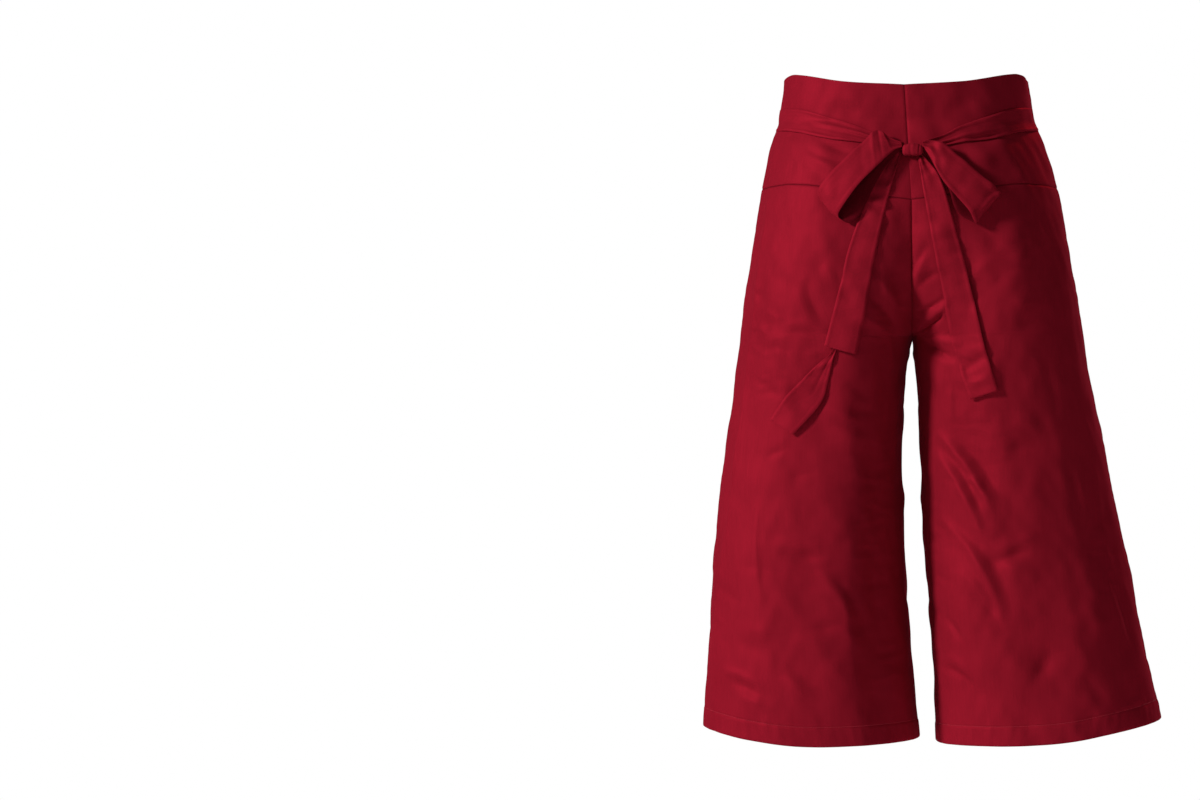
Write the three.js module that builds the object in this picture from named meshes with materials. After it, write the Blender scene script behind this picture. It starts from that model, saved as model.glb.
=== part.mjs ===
import * as THREE from 'three';

/*
 * Fisherman pants: wide, cropped trousers with a deep yoke, two long panel seams down the front,
 * and two ties that are sewn into the side seams and knotted in a bow at the middle of the back.
 *
 * Millimetres. +X is the wearer's right, +Y the front and +Z up. The origin is the middle of the
 * waist, level with the place where the ties draw it in. "drop" is a distance down from there.
 *
 * Each half of the body is one tube. Its level section is a squared ellipse, cut off at the centre
 * seam above the crotch and closed below it. An angle of 0 is the side seam, a quarter turn is the
 * middle of the back, a half turn is the inside of the leg, and three quarters the middle of the front.
 */

const CLOTH = 1.6; // wall of one layer
const HEM_CLOTH = 2.8; // wall where the hem is turned up
const HEM_DEPTH = 22;
const TIE_CLOTH = 1.8; // wall of a folded tie
const SEAM_GAP = 0.3; // between neighbouring pieces
const TIE_CLEARANCE = 0.7; // from a panel to the underside of a tie that lies on it
const WAIST_DROP = -57;
const YOKE_DROP = 88; // yoke seam at the middle of the back
const CROTCH_DROP = 239;
const SQUARENESS = 2.3; // 2 is an ellipse
const CROTCH_CURVE = 3; // how long the seat stays full before it turns under to the crotch
const LEFT = -1;
const RIGHT = 1;
const QUARTER = Math.PI / 2;
const TURN = Math.PI * 2;

const CRIMSON = 0x86142a;
const CRIMSON_TIE = 0x8c152c;

/** Rows of numbers with named columns. */
function table(columns, rows) {
  return rows.map((row) => Object.fromEntries(columns.map((name, i) => [name, row[i]])));
}

// Outer edges of the body as distances from the origin's plane, and its reach to back and front.
const BODY = table(['drop', 'left', 'right', 'back', 'front'], [
  [-57, 138, 138, 98, 92],
  [-28, 140.5, 142.5, 97, 91],
  [-4, 143.5, 147, 96, 90],
  [5, 147.5, 151.5, 99, 92.5],
  [24, 154, 159.5, 107, 97],
  [70, 163.5, 173, 118, 102],
  [140, 175, 186.5, 123, 104],
  [210, 185, 198, 118, 102],
  [240, 188.5, 202, 113, 99],
  [310, 197.5, 213.5, 104, 95],
  [380, 208, 228.5, 100, 94],
  [450, 215, 242.5, 100, 96],
  [520, 221, 257.5, 102, 99],
  [590, 225.5, 271.5, 105, 102],
  [660, 230, 287, 107, 104],
  [710, 233, 299, 108, 105],
]);

// Where the inside of each leg is, and how far round to the front its seam has turned (in degrees).
const INSIDE = table(['drop', 'left', 'right', 'seamTurn'], [
  [239, 7.85, 8.15, 0],
  [246, 5.9, 8.8, 3],
  [278, 1.5, 10.5, 8],
  [313, -1.2, 12.7, 12],
  [365, -3.5, 15.5, 17],
  [416, -3.2, 17.5, 22],
  [485, 0, 21, 29],
  [555, 3.8, 26.5, 36],
  [625, 9.4, 32, 42],
  [710, 17.5, 35.5, 48],
]);

// Centre seam, straight within the yoke and within the leg panels.
const CENTRE_SEAM = table(['drop', 'x'], [
  [WAIST_DROP, -2],
  [YOKE_DROP, 7.3],
  [CROTCH_DROP, 8],
]);

// Long panel seams of the front, as shares of the way from the centre seam or inseam to the side seam.
const PANEL_SEAM = table(['drop', 'left', 'right'], [
  [70, 0.47, 0.455],
  [239, 0.445, 0.445],
  [380, 0.42, 0.445],
  [540, 0.39, 0.42],
  [710, 0.37, 0.37],
]);

// Drops of the waist edge and the yoke seam, by the share of the way from centre seam to side seam.
const WAIST_EDGE = table(['share', 'back', 'front'], [
  [0, -42, -37],
  [0.5, -46.5, -43],
  [0.9, -56.5, -55.5],
  [1, -57, -57],
]);
const YOKE_SEAM = table(['share', 'back', 'front'], [
  [0, YOKE_DROP, 90],
  [0.2, 83.5, 89],
  [0.5, 74.5, 84],
  [0.8, 69.5, 75.5],
  [1, 71.5, 71.5],
]);

// Drop of the hem by the share of the way from the inside to the outside of the leg.
const HEM = table(['share', 'left', 'right'], [
  [0, 697.5, 701.5],
  [0.3, 701.5, 701],
  [0.55, 702, 696.5],
  [0.8, 695, 685],
  [1, 685, 674.5],
]);

// The largest folds: soft ridges (rise above 0) and troughs along a line on the back or the front.
const FOLDS = table(['face', 'x1', 'drop1', 'x2', 'drop2', 'width', 'rise'], [
  ['back', -38, 330, -26, 700, 26, -5],
  ['back', -120, 290, -150, 700, 34, 2.5],
  ['back', 34, 350, 98, 470, 20, 4],
  ['back', 60, 330, 130, 470, 24, -3.5],
  ['back', 40, 470, 90, 570, 18, 3],
  ['back', 150, 320, 190, 690, 34, -3],
  ['back', -120, 26, -70, 48, 12, 2],
  ['back', 120, 26, 74, 48, 12, 2],
  ['front', 128, -40, 20, 84, 20, -4.5],
  ['front', -118, 20, -60, 80, 26, -4],
  ['front', 190, 500, 130, 640, 30, 4.5],
  ['front', 80, 330, 150, 345, 14, -2.5],
  ['front', 92, 395, 175, 372, 12, -3],
  ['front', -60, 480, -130, 500, 16, 3],
  ['front', -108, 520, -160, 566, 14, -3.5],
]);

// Ties round the waist, by the reach from the side seam to the knot.
const BAND = table(['reach', 'drop', 'width'], [
  [0, -7.5, 26],
  [0.4, -3.5, 26],
  [0.68, 7.5, 24],
  [0.82, 14, 18],
  [0.91, 20.5, 13],
  [1, 28, 9],
]);

// Hanging ends, by centre line, width and stand-off of the cloth's middle from the panel.
const TAIL_LEFT = table(['x', 'drop', 'width', 'out'], [
  [-7, 34.5, 7, 1.8],
  [-20.5, 63, 16, 1.8],
  [-31, 88, 23, 1.8],
  [-37, 107, 25.5, 2],
  [-49, 148, 30, 2.8],
  [-55.5, 178, 30.5, 3.4],
  [-64, 214, 32, 4],
  [-74.7, 254.5, 32.5, 4.4],
]);
const TAIL_LEFT_END = table(['x', 'drop', 'width', 'out'], [
  [-77, 240, 7, 1.7],
  [-82, 262, 8, 1.7],
  [-90, 283, 17, 1.9],
  [-103, 305, 26, 2.6],
  [-120, 326, 29, 2.4],
  [-136.5, 345, 29.5, 1.8],
]);
const TAIL_RIGHT = table(['x', 'drop', 'width', 'out'], [
  [18, 41, 7, 1.8],
  [29.5, 67, 21, 1.8],
  [39.5, 107, 26, 2],
  [50.5, 155, 30, 3],
  [63, 214, 33, 3.8],
  [75, 262, 34, 3.4],
  [89.5, 306, 32, 2.2],
]);

// Bow loops, from the knot out along the front layer, round the fold and back, as the two edges of the tie.
const LOOP_COLUMNS = ['x1', 'drop1', 'out1', 'x2', 'drop2', 'out2'];
const LOOP_LEFT = table(LOOP_COLUMNS, [
  [-4, 26.5, 9.5, -4, 32, 9],
  [-20, 17, 11, -12, 36, 11],
  [-36, 16.5, 13, -22, 45.5, 14],
  [-54, 32, 14, -34.5, 58, 17],
  [-73, 54, 14.5, -50, 74, 18.5],
  [-88.5, 72, 13.5, -65.5, 95, 17],
  [-94.5, 83, 9.5, -73, 107, 12],
  [-93, 89, 5.5, -69, 113.5, 7],
  [-84, 85, 4, -59, 114, 4.6],
  [-69, 77, 4.2, -48.7, 104, 4.6],
  [-49, 50, 4.6, -31, 67, 5],
  [-25, 30, 4.6, -16, 45, 5],
  [-4, 27, 4.6, -4, 32.5, 4.6],
]);
const LOOP_RIGHT = table(LOOP_COLUMNS, [
  [20.5, 26, 9.5, 20.5, 32, 9],
  [33, 25, 10.5, 27.5, 42.5, 10.5],
  [46, 31, 11.5, 34.5, 56, 12],
  [62, 45.5, 12.5, 43, 70, 13.5],
  [80, 61.5, 13, 57, 86, 14],
  [96, 75.5, 11.5, 71, 101, 13],
  [103, 82, 8.5, 77, 112, 9.5],
  [103, 83, 5.5, 77.5, 115, 6],
  [97, 79, 4.2, 72, 113.5, 4.4],
  [83, 68, 4.2, 57, 101, 4.4],
  [65, 52, 4.6, 47.5, 73, 4.8],
  [43, 35, 4.8, 34, 52, 4.8],
  [21.1, 27, 4.6, 21.1, 32.5, 4.6],
]);

const KNOT = { left: -2.8, right: 19.9, drop: 32, halfHeight: 7, thickness: 12 };

const mix = (a, b, t) => a + (b - a) * t;
const signedPower = (value, power) => Math.sign(value) * Math.abs(value) ** power;

/** Smooth curve through one column of a table, by another of its columns. */
function smooth(rows, key, column) {
  const at = rows.map((row) => row[key]);
  const value = rows.map((row) => row[column]);
  const last = rows.length - 1;
  const slope = value.map((_, i) => {
    const before = Math.max(i - 1, 0);
    const after = Math.min(i + 1, last);
    return (value[after] - value[before]) / (at[after] - at[before]);
  });
  return (t) => {
    if (t <= at[0]) return value[0];
    if (t >= at[last]) return value[last];
    const i = at.findIndex((_, k) => t < at[k + 1]);
    const span = at[i + 1] - at[i];
    const s = (t - at[i]) / span;
    const rest = 1 - s;
    return value[i] * rest * rest * (1 + 2 * s) + value[i + 1] * s * s * (3 - 2 * s)
      + span * s * rest * (slope[i] * rest - slope[i + 1] * s);
  };
}

/** Straight pieces between the rows of a table. */
function straight(rows, key, column) {
  const last = rows.length - 1;
  return (t) => {
    if (t >= rows[last][key]) return rows[last][column];
    const i = Math.max(rows.findIndex((_, k) => k < last && t < rows[k + 1][key]), 0);
    const share = (t - rows[i][key]) / (rows[i + 1][key] - rows[i][key]);
    return mix(rows[i][column], rows[i + 1][column], share);
  };
}

const centreX = straight(CENTRE_SEAM, 'drop', 'x');
const backReach = smooth(BODY, 'drop', 'back');
const frontReach = smooth(BODY, 'drop', 'front');
const seamTurn = smooth(INSIDE, 'drop', 'seamTurn');
const outerX = { [LEFT]: smooth(BODY, 'drop', 'left'), [RIGHT]: smooth(BODY, 'drop', 'right') };
const insideX = { [LEFT]: smooth(INSIDE, 'drop', 'left'), [RIGHT]: smooth(INSIDE, 'drop', 'right') };
const panelShare = {
  [LEFT]: smooth(PANEL_SEAM, 'drop', 'left'),
  [RIGHT]: smooth(PANEL_SEAM, 'drop', 'right'),
};
const hemDrop = { [LEFT]: smooth(HEM, 'share', 'left'), [RIGHT]: smooth(HEM, 'share', 'right') };
const waistDrop = {
  back: smooth(WAIST_EDGE, 'share', 'back'),
  front: smooth(WAIST_EDGE, 'share', 'front'),
};
const yokeDrop = {
  back: smooth(YOKE_SEAM, 'share', 'back'),
  front: smooth(YOKE_SEAM, 'share', 'front'),
};

/** How much of the body's reach is left at the centre seam: 1 at the waist, 0 at the crotch. */
function seatFullness(drop) {
  const share = (drop - WAIST_DROP) / (CROTCH_DROP - WAIST_DROP);
  return Math.max(1 - Math.max(share, 0) ** CROTCH_CURVE, 0) ** (1 / CROTCH_CURVE);
}

/** Level section of one half: distances from the centre seam's plane. */
function section(side, drop) {
  const outer = side * (side * outerX[side](drop) - centreX(drop));
  if (drop >= CROTCH_DROP) {
    const inner = side * (insideX[side](drop) - centreX(drop));
    return { outer, inner, centre: (outer + inner) / 2, half: (outer - inner) / 2 };
  }
  const lean = (1 - seatFullness(drop) ** SQUARENESS) ** (1 / SQUARENESS);
  const half = outer / (1 + lean);
  return { outer, inner: 0, centre: outer - half, half };
}

/** Angle at which the section passes a given distance from the centre seam's plane, on the back. */
function angleAt(side, drop, distance) {
  const { centre, half } = section(side, drop);
  const across = THREE.MathUtils.clamp((distance - centre) / half, -1, 1);
  return Math.acos(signedPower(across, SQUARENESS / 2));
}

/** Point of the body before it is folded. */
function plainPoint(side, angle, drop) {
  const { centre, half } = section(side, drop);
  const across = signedPower(Math.cos(angle), 2 / SQUARENESS);
  const outward = signedPower(Math.sin(angle), 2 / SQUARENESS);
  const reach = outward > 0 ? backReach(drop) : frontReach(drop);
  return new THREE.Vector3(centreX(drop) + side * (centre + half * across), -reach * outward, -drop);
}

function normalAt(side, angle, drop) {
  const step = 0.004;
  const round = plainPoint(side, angle + step, drop).sub(plainPoint(side, angle - step, drop));
  const down = plainPoint(side, angle, drop + 1).sub(plainPoint(side, angle, drop - 1));
  return round.cross(down).multiplyScalar(side).normalize();
}

/** Rise of all the folds at a point, fading out towards the side seams and the insides of the legs. */
function foldRise(point, angle) {
  const face = Math.sin(angle) > 0 ? 'back' : 'front';
  const fade = THREE.MathUtils.smoothstep(Math.abs(Math.sin(angle)), 0.05, 0.5);
  let rise = 0;
  for (const fold of FOLDS.filter((row) => row.face === face)) {
    const from = new THREE.Vector2(fold.x1, fold.drop1);
    const along = new THREE.Vector2(fold.x2, fold.drop2).sub(from);
    const to = new THREE.Vector2(point.x, -point.z).sub(from);
    const share = to.dot(along) / along.lengthSq();
    if (share <= 0 || share >= 1) continue;
    const away = Math.abs(to.cross(along)) / along.length() / fold.width;
    rise += fold.rise * Math.exp(-away * away) * Math.sin(Math.PI * share) ** 0.7;
  }
  return rise * fade;
}

/** Point on the outside of the cloth, with the direction that faces outward. */
function bodyPoint(side, angle, drop) {
  const point = plainPoint(side, angle, drop);
  const normal = normalAt(side, angle, drop);
  return { point: point.clone().addScaledVector(normal, foldRise(point, angle)), normal };
}

/** The same on the back, by the distance across instead of the angle, and moved out. */
function onBack(x, drop, out) {
  const side = x < centreX(drop) ? LEFT : RIGHT;
  const angle = angleAt(side, drop, Math.abs(x - centreX(drop)));
  const { point, normal } = bodyPoint(side, angle, drop);
  return point.addScaledVector(normal, out);
}

// Seam lines, as the angle at which a drop meets them.
const sideSeam = { back: () => 0, front: () => TURN };
function innerSeam(face) {
  return (side, drop) => {
    if (drop >= CROTCH_DROP) return Math.PI + THREE.MathUtils.degToRad(seamTurn(drop));
    const angle = angleAt(side, drop, SEAM_GAP / 2);
    return face === 'back' ? angle : TURN - angle;
  };
}
function panelSeam(side, drop) {
  const { inner, outer } = section(side, drop);
  return TURN - angleAt(side, drop, mix(inner, outer, panelShare[side](drop)));
}

/** Drop at which a crosswise line, such as the hem, is met at a share of the way across a piece. */
function meet(side, seams, share, line, nearDrop) {
  let drop = nearDrop;
  for (let pass = 0; pass < 5; pass += 1) {
    const angle = mix(seams[0](side, drop), seams[1](side, drop), share);
    const { inner, outer } = section(side, drop);
    const distance = side * (plainPoint(side, angle, drop).x - centreX(drop));
    drop = line((distance - inner) / (outer - inner));
  }
  return drop;
}

/** Closed solid between two grids of points, outer[row][column] and inner[row][column]. */
function solidFromGrids(outer, inner, flip) {
  const rows = outer.length;
  const columns = outer[0].length;
  const corner = (row, column, layer) => (layer * rows + row) * columns + column;
  const faces = [];
  const quad = (a, b, c, d) => faces.push(...(flip ? [a, c, b, a, d, c] : [a, b, c, a, c, d]));
  for (let r = 0; r < rows - 1; r += 1) {
    for (let c = 0; c < columns - 1; c += 1) {
      quad(corner(r, c, 0), corner(r + 1, c, 0), corner(r + 1, c + 1, 0), corner(r, c + 1, 0));
      quad(corner(r, c, 1), corner(r, c + 1, 1), corner(r + 1, c + 1, 1), corner(r + 1, c, 1));
    }
    quad(corner(r, 0, 0), corner(r, 0, 1), corner(r + 1, 0, 1), corner(r + 1, 0, 0));
    const c = columns - 1;
    quad(corner(r + 1, c, 0), corner(r + 1, c, 1), corner(r, c, 1), corner(r, c, 0));
  }
  for (let c = 0; c < columns - 1; c += 1) {
    quad(corner(0, c, 1), corner(0, c, 0), corner(0, c + 1, 0), corner(0, c + 1, 1));
    const r = rows - 1;
    quad(corner(r, c, 0), corner(r, c, 1), corner(r, c + 1, 1), corner(r, c + 1, 0));
  }
  const geometry = new THREE.BufferGeometry();
  const points = [...outer.flat(), ...inner.flat()];
  geometry.setAttribute('position', new THREE.Float32BufferAttribute(points.flatMap((p) => p.toArray()), 3));
  geometry.setIndex(faces);
  geometry.computeVertexNormals();
  return geometry;
}

/** Pulls the edges of a grid back by half a seam gap. */
function trimEdges(points) {
  const moved = points.map((row) => row.map((point) => point.clone()));
  const pull = (row, column, towards) => {
    const direction = towards.clone().sub(points[row][column]).normalize();
    moved[row][column].addScaledVector(direction, SEAM_GAP / 2);
  };
  const lastRow = points.length - 1;
  const lastColumn = points[0].length - 1;
  points[0].forEach((_, c) => pull(0, c, points[1][c]));
  points[0].forEach((_, c) => pull(lastRow, c, points[lastRow - 1][c]));
  points.forEach((row, r) => pull(r, 0, row[1]));
  points.forEach((row, r) => pull(r, lastColumn, row[lastColumn - 1]));
  return moved;
}

/** One cut piece of the body: a wall between two seams, with a given drop and thickness for each row. */
function bodyPiece(side, seams, columns, dropRows, wall) {
  const grid = [];
  const normals = [];
  for (let r = 0; r < dropRows.length; r += 1) {
    grid.push([]);
    normals.push([]);
    for (let c = 0; c <= columns; c += 1) {
      const drop = dropRows[r](c / columns);
      const angle = mix(seams[0](side, drop), seams[1](side, drop), c / columns);
      const { point, normal } = bodyPoint(side, angle, drop);
      grid[r].push(point);
      normals[r].push(normal);
    }
  }
  const outer = trimEdges(grid);
  const inner = outer.map((row, r) => row.map((point, c) => (
    point.clone().addScaledVector(normals[r][c], -wall(r)))));
  return { outer, inner };
}

function yoke(side, face) {
  const seams = [innerSeam(face), sideSeam[face]];
  const levels = [0, 0.15, 0.28, 0.37, 0.44, 0.52, 0.65, 0.82, 1];
  const rows = levels.map((level) => (share) => mix(
    meet(side, seams, share, waistDrop[face], WAIST_DROP),
    meet(side, seams, share, yokeDrop[face], YOKE_DROP),
    level,
  ));
  const { outer, inner } = bodyPiece(side, seams, 12, rows, () => CLOTH);
  return solidFromGrids(outer, inner, (side === LEFT) === (face === 'back'));
}

/**
 * Drops of a leg panel's rows. Above the crotch, the rows are spread evenly down the side and, where
 * the piece reaches the centre seam, evenly along the crotch curve.
 */
function legRows(side, face, seams, reachesCentre) {
  const above = 8;
  const below = 11;
  const yokeAt = (share) => meet(side, seams, share, yokeDrop[face], YOKE_DROP);
  const hemAt = (share) => meet(side, seams, share, hemDrop[side], BODY.at(-1).drop - HEM_DEPTH);
  const height = CROTCH_DROP - WAIST_DROP;
  const startAngle = Math.asin(((yokeDrop[face](0) - WAIST_DROP) / height) ** (CROTCH_CURVE / 2));
  const rows = [];
  for (let i = 0; i <= above; i += 1) {
    const even = i / above;
    const curveDrop = WAIST_DROP + height * Math.sin(mix(startAngle, QUARTER, even)) ** (2 / CROTCH_CURVE);
    const curved = (curveDrop - yokeDrop[face](0)) / (CROTCH_DROP - yokeDrop[face](0));
    rows.push((share) => {
      const level = reachesCentre ? mix(curved, even, share ** 0.7) : even;
      return mix(yokeAt(share), CROTCH_DROP, level);
    });
  }
  for (let i = 1; i <= below; i += 1) {
    rows.push((share) => mix(CROTCH_DROP, hemAt(share) - HEM_DEPTH, i / below));
  }
  rows.push((share) => hemAt(share) - HEM_DEPTH + (HEM_CLOTH - CLOTH));
  rows.push(hemAt);
  return rows;
}

function legPanel(side, face, seams, columns, reachesCentre) {
  const rows = legRows(side, face, seams, reachesCentre);
  const wall = (row) => (row < rows.length - 2 ? CLOTH : HEM_CLOTH);
  const { outer, inner } = bodyPiece(side, seams, columns, rows, wall);
  return solidFromGrids(outer, inner, (side === LEFT) === (face === 'back'));
}

/** A tie: a strip of even thickness round its middle surface, at(along, across) with both from 0 to 1. */
function strip(at, length, width) {
  const outer = [];
  const inner = [];
  const step = 0.01;
  for (let r = 0; r <= length; r += 1) {
    outer.push([]);
    inner.push([]);
    for (let c = 0; c <= width; c += 1) {
      const along = THREE.MathUtils.clamp(r / length, step, 1 - step);
      const run = at(along + step, c / width).sub(at(along - step, c / width));
      const across = at(along, 1).sub(at(along, 0));
      const normal = across.cross(run).normalize();
      const middle = at(r / length, c / width);
      outer[r].push(middle.clone().addScaledVector(normal, TIE_CLOTH / 2));
      inner[r].push(middle.clone().addScaledVector(normal, -TIE_CLOTH / 2));
    }
  }
  return solidFromGrids(outer, inner, true);
}

/** Smooth curves through all the columns of a table, run from 0 to 1 by the row's number. */
function stations(rows) {
  const numbered = rows.map((row, i) => ({ ...row, along: i / (rows.length - 1) }));
  return Object.fromEntries(Object.keys(rows[0]).map((name) => [name, smooth(numbered, 'along', name)]));
}

function band(side) {
  const line = { drop: smooth(BAND, 'reach', 'drop'), width: smooth(BAND, 'reach', 'width') };
  const out = TIE_CLEARANCE + TIE_CLOTH / 2;
  const atSideSeam = 0.02;
  const knotEdge = side === LEFT ? KNOT.left : KNOT.right;
  return strip((along, across) => {
    const drop = line.drop(along) + (across - 0.5) * line.width(along);
    const atKnot = angleAt(side, drop, Math.abs(knotEdge - centreX(drop)) + SEAM_GAP);
    const { point, normal } = bodyPoint(side, mix(atSideSeam, atKnot, along), drop);
    return point.addScaledVector(normal, out);
  }, 16, 3);
}

function tail(rows) {
  const line = stations(rows);
  const step = 0.01;
  return strip((along, across) => {
    const before = Math.max(along - step, 0);
    const after = Math.min(along + step, 1);
    const run = line.x(after) - line.x(before);
    const fall = line.drop(after) - line.drop(before);
    const offset = ((across - 0.5) * line.width(along)) / Math.hypot(run, fall);
    return onBack(line.x(along) + fall * offset, line.drop(along) - run * offset, line.out(along));
  }, 14, 3);
}

function loop(rows) {
  const line = stations(rows);
  return strip((along, across) => onBack(
    mix(line.x1(along), line.x2(along), across),
    mix(line.drop1(along), line.drop2(along), across),
    mix(line.out1(along), line.out2(along), across),
  ), 30, 3);
}

/** The knot: a wrap of cloth across the ties, fullest at its middle. */
function knot() {
  const lengthSteps = 6;
  const ringSteps = 12;
  const roundness = 0.7; // 1 is an ellipse, less is squarer
  const narrowing = 0.16; // of each end, as a share of the middle
  const half = (KNOT.right - KNOT.left) / 2;
  const middleX = (KNOT.right + KNOT.left) / 2;
  const seat = Math.min(...[KNOT.left, middleX, KNOT.right].map((x) => onBack(x, KNOT.drop, 0).y));
  const middle = new THREE.Vector3(middleX, seat - TIE_CLEARANCE - KNOT.thickness / 2, -KNOT.drop);
  const points = [];
  const faces = [];
  for (let i = 0; i <= lengthSteps; i += 1) {
    const along = (i / lengthSteps) * 2 - 1;
    const fullness = 1 - narrowing * along * along;
    for (let k = 0; k < ringSteps; k += 1) {
      const angle = (k / ringSteps) * TURN;
      points.push(
        middle.x + half * along,
        middle.y + signedPower(Math.cos(angle), roundness) * fullness * KNOT.thickness / 2,
        middle.z + signedPower(Math.sin(angle), roundness) * fullness * KNOT.halfHeight,
      );
    }
  }
  for (let i = 0; i < lengthSteps; i += 1) {
    for (let k = 0; k < ringSteps; k += 1) {
      const a = i * ringSteps + k;
      const b = i * ringSteps + ((k + 1) % ringSteps);
      faces.push(a, b, a + ringSteps, b, b + ringSteps, a + ringSteps);
    }
  }
  for (let k = 1; k < ringSteps - 1; k += 1) {
    const last = lengthSteps * ringSteps;
    faces.push(0, k + 1, k, last, last + k, last + k + 1);
  }
  const geometry = new THREE.BufferGeometry();
  geometry.setAttribute('position', new THREE.Float32BufferAttribute(points, 3));
  geometry.setIndex(faces);
  geometry.computeVertexNormals();
  return geometry;
}

const pants = new THREE.Group();

function add(name, geometry, color) {
  const material = new THREE.MeshStandardMaterial({ color, roughness: 0.55, metalness: 0 });
  const mesh = new THREE.Mesh(geometry, material);
  mesh.name = name;
  pants.add(mesh);
}

for (const [name, side] of [['left', LEFT], ['right', RIGHT]]) {
  const back = innerSeam('back');
  const front = innerSeam('front');
  add(`yoke_back_${name}`, yoke(side, 'back'), CRIMSON);
  add(`yoke_front_${name}`, yoke(side, 'front'), CRIMSON);
  add(`leg_back_${name}`, legPanel(side, 'back', [back, sideSeam.back], 14, true), CRIMSON);
  add(`leg_front_inner_${name}`, legPanel(side, 'front', [front, panelSeam], 6, true), CRIMSON);
  add(`leg_front_outer_${name}`, legPanel(side, 'front', [panelSeam, sideSeam.front], 8, false), CRIMSON);
  add(`tie_band_${name}`, band(side), CRIMSON_TIE);
}
add('knot', knot(), CRIMSON_TIE);
add('loop_left', loop(LOOP_LEFT), CRIMSON_TIE);
add('loop_right', loop(LOOP_RIGHT), CRIMSON_TIE);
add('tail_left', tail(TAIL_LEFT), CRIMSON_TIE);
add('tail_left_end', tail(TAIL_LEFT_END), CRIMSON_TIE);
add('tail_right', tail(TAIL_RIGHT), CRIMSON_TIE);

export default pants;
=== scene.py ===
"""Looks of the fisherman pants: crimson cotton satin with a deep yoke and a bow tied at the back.

The cloth follows the same level sections as the frame's solids. +X is the wearer's right, +Y the
front and +Z up, and "drop" is a distance down from the origin. Tables and functions of the shape
work in millimetres, and a mesh gets its points in metres.
"""

import math

import bpy
import numpy as np
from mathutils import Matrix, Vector


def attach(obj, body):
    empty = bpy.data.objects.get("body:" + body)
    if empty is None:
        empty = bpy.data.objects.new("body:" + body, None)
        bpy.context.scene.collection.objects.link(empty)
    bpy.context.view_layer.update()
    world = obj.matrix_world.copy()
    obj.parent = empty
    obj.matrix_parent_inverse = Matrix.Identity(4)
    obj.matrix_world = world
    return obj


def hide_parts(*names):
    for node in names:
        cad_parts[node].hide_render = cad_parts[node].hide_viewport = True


bl_info = {
    "name": "Fisherman Pants",
    "version": (1, 0, 0),
    "blender": (4, 5, 0),
    "location": "View3D > Sidebar > Pants",
    "description": "Builds the cloth, ties, stitches and stage of a pair of fisherman pants",
    "category": "Object",
}

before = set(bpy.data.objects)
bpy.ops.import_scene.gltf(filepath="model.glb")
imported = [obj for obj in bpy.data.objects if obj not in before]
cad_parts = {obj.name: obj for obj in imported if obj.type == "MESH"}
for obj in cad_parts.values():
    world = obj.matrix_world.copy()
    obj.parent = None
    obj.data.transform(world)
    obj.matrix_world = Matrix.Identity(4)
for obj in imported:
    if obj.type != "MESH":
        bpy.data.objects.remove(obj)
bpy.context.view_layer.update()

MM = 0.001
LEFT, RIGHT = -1, 1
SIDE_NAMES = {LEFT: "left", RIGHT: "right"}
TURN = 2 * math.pi
BODY_NAME = "root"


def table(columns, *rows):
    """Named columns of numbers, or of words in the column called face."""
    return {
        name: np.array([row[i] for row in rows], dtype=object if name == "face" else float)
        for i, name in enumerate(columns.split())
    }


# ---------------------------------------------------------------- sizes of the cut and worn shape

WAIST_DROP = -57
YOKE_DROP = 88
CROTCH_DROP = 239
FULL_DROP = 710
SQUARENESS = 2.3  # power of the rounded level sections: 2 is an ellipse
CROTCH_CURVE = 3  # power of the curve in which the halves part at the crotch
SEAM_GAP = 0.3

# Level sections: reach of each side seam from X = 0, and of the back and the front from Y = 0.
BODY = table(
    "drop left right back front",
    (-57, 138, 138, 98, 92),
    (-28, 140.5, 142.5, 97, 91),
    (-4, 143.5, 147, 96, 90),
    (5, 147.5, 151.5, 99, 92.5),
    (24, 154, 159.5, 107, 97),
    (70, 163.5, 173, 118, 102),
    (140, 175, 186.5, 123, 104),
    (210, 185, 198, 118, 102),
    (240, 188.5, 202, 113, 99),
    (310, 197.5, 213.5, 104, 95),
    (380, 208, 228.5, 100, 94),
    (450, 215, 242.5, 100, 96),
    (520, 221, 257.5, 102, 99),
    (590, 225.5, 271.5, 105, 102),
    (660, 230, 287, 107, 104),
    (710, 233, 299, 108, 105),
)
# Inside edge of each leg, and the degrees by which its inseam is turned to the front.
INSIDE = table(
    "drop left right turn",
    (239, 7.85, 8.15, 0),
    (246, 5.9, 8.8, 3),
    (278, 1.5, 10.5, 8),
    (313, -1.2, 12.7, 12),
    (365, -3.5, 15.5, 17),
    (416, -3.2, 17.5, 22),
    (485, 0, 21, 29),
    (555, 3.8, 26.5, 36),
    (625, 9.4, 32, 42),
    (710, 17.5, 35.5, 48),
)
CENTRE_SEAM = table("drop x", (WAIST_DROP, -2), (YOKE_DROP, 7.3), (CROTCH_DROP, 8))
# Place of the long panel seam, as a share of the way from the centre or the inside to the side.
PANEL_SEAM = table(
    "drop left right",
    (70, 0.47, 0.455),
    (239, 0.445, 0.445),
    (380, 0.42, 0.445),
    (540, 0.39, 0.42),
    (710, 0.37, 0.37),
)
# Drops of the crosswise lines, by the share of the way from the centre to the side seam.
WAIST_EDGE = table(
    "share back front",
    (0, -42, -37),
    (0.5, -46.5, -43),
    (0.9, -56.5, -56),
    (0.96, -55.5, -55),
    (1, -51, -51),
)
YOKE_SEAM = table(
    "share back front",
    (0, YOKE_DROP, 90),
    (0.2, 83.5, 89),
    (0.5, 74.5, 84),
    (0.8, 69.5, 75.5),
    (1, 71.5, 71.5),
)
HEM = table(
    "share left right",
    (0, 697.5, 701.5),
    (0.3, 701.5, 701),
    (0.55, 702, 696.5),
    (0.8, 695, 685),
    (1, 685, 674.5),
)

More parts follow.
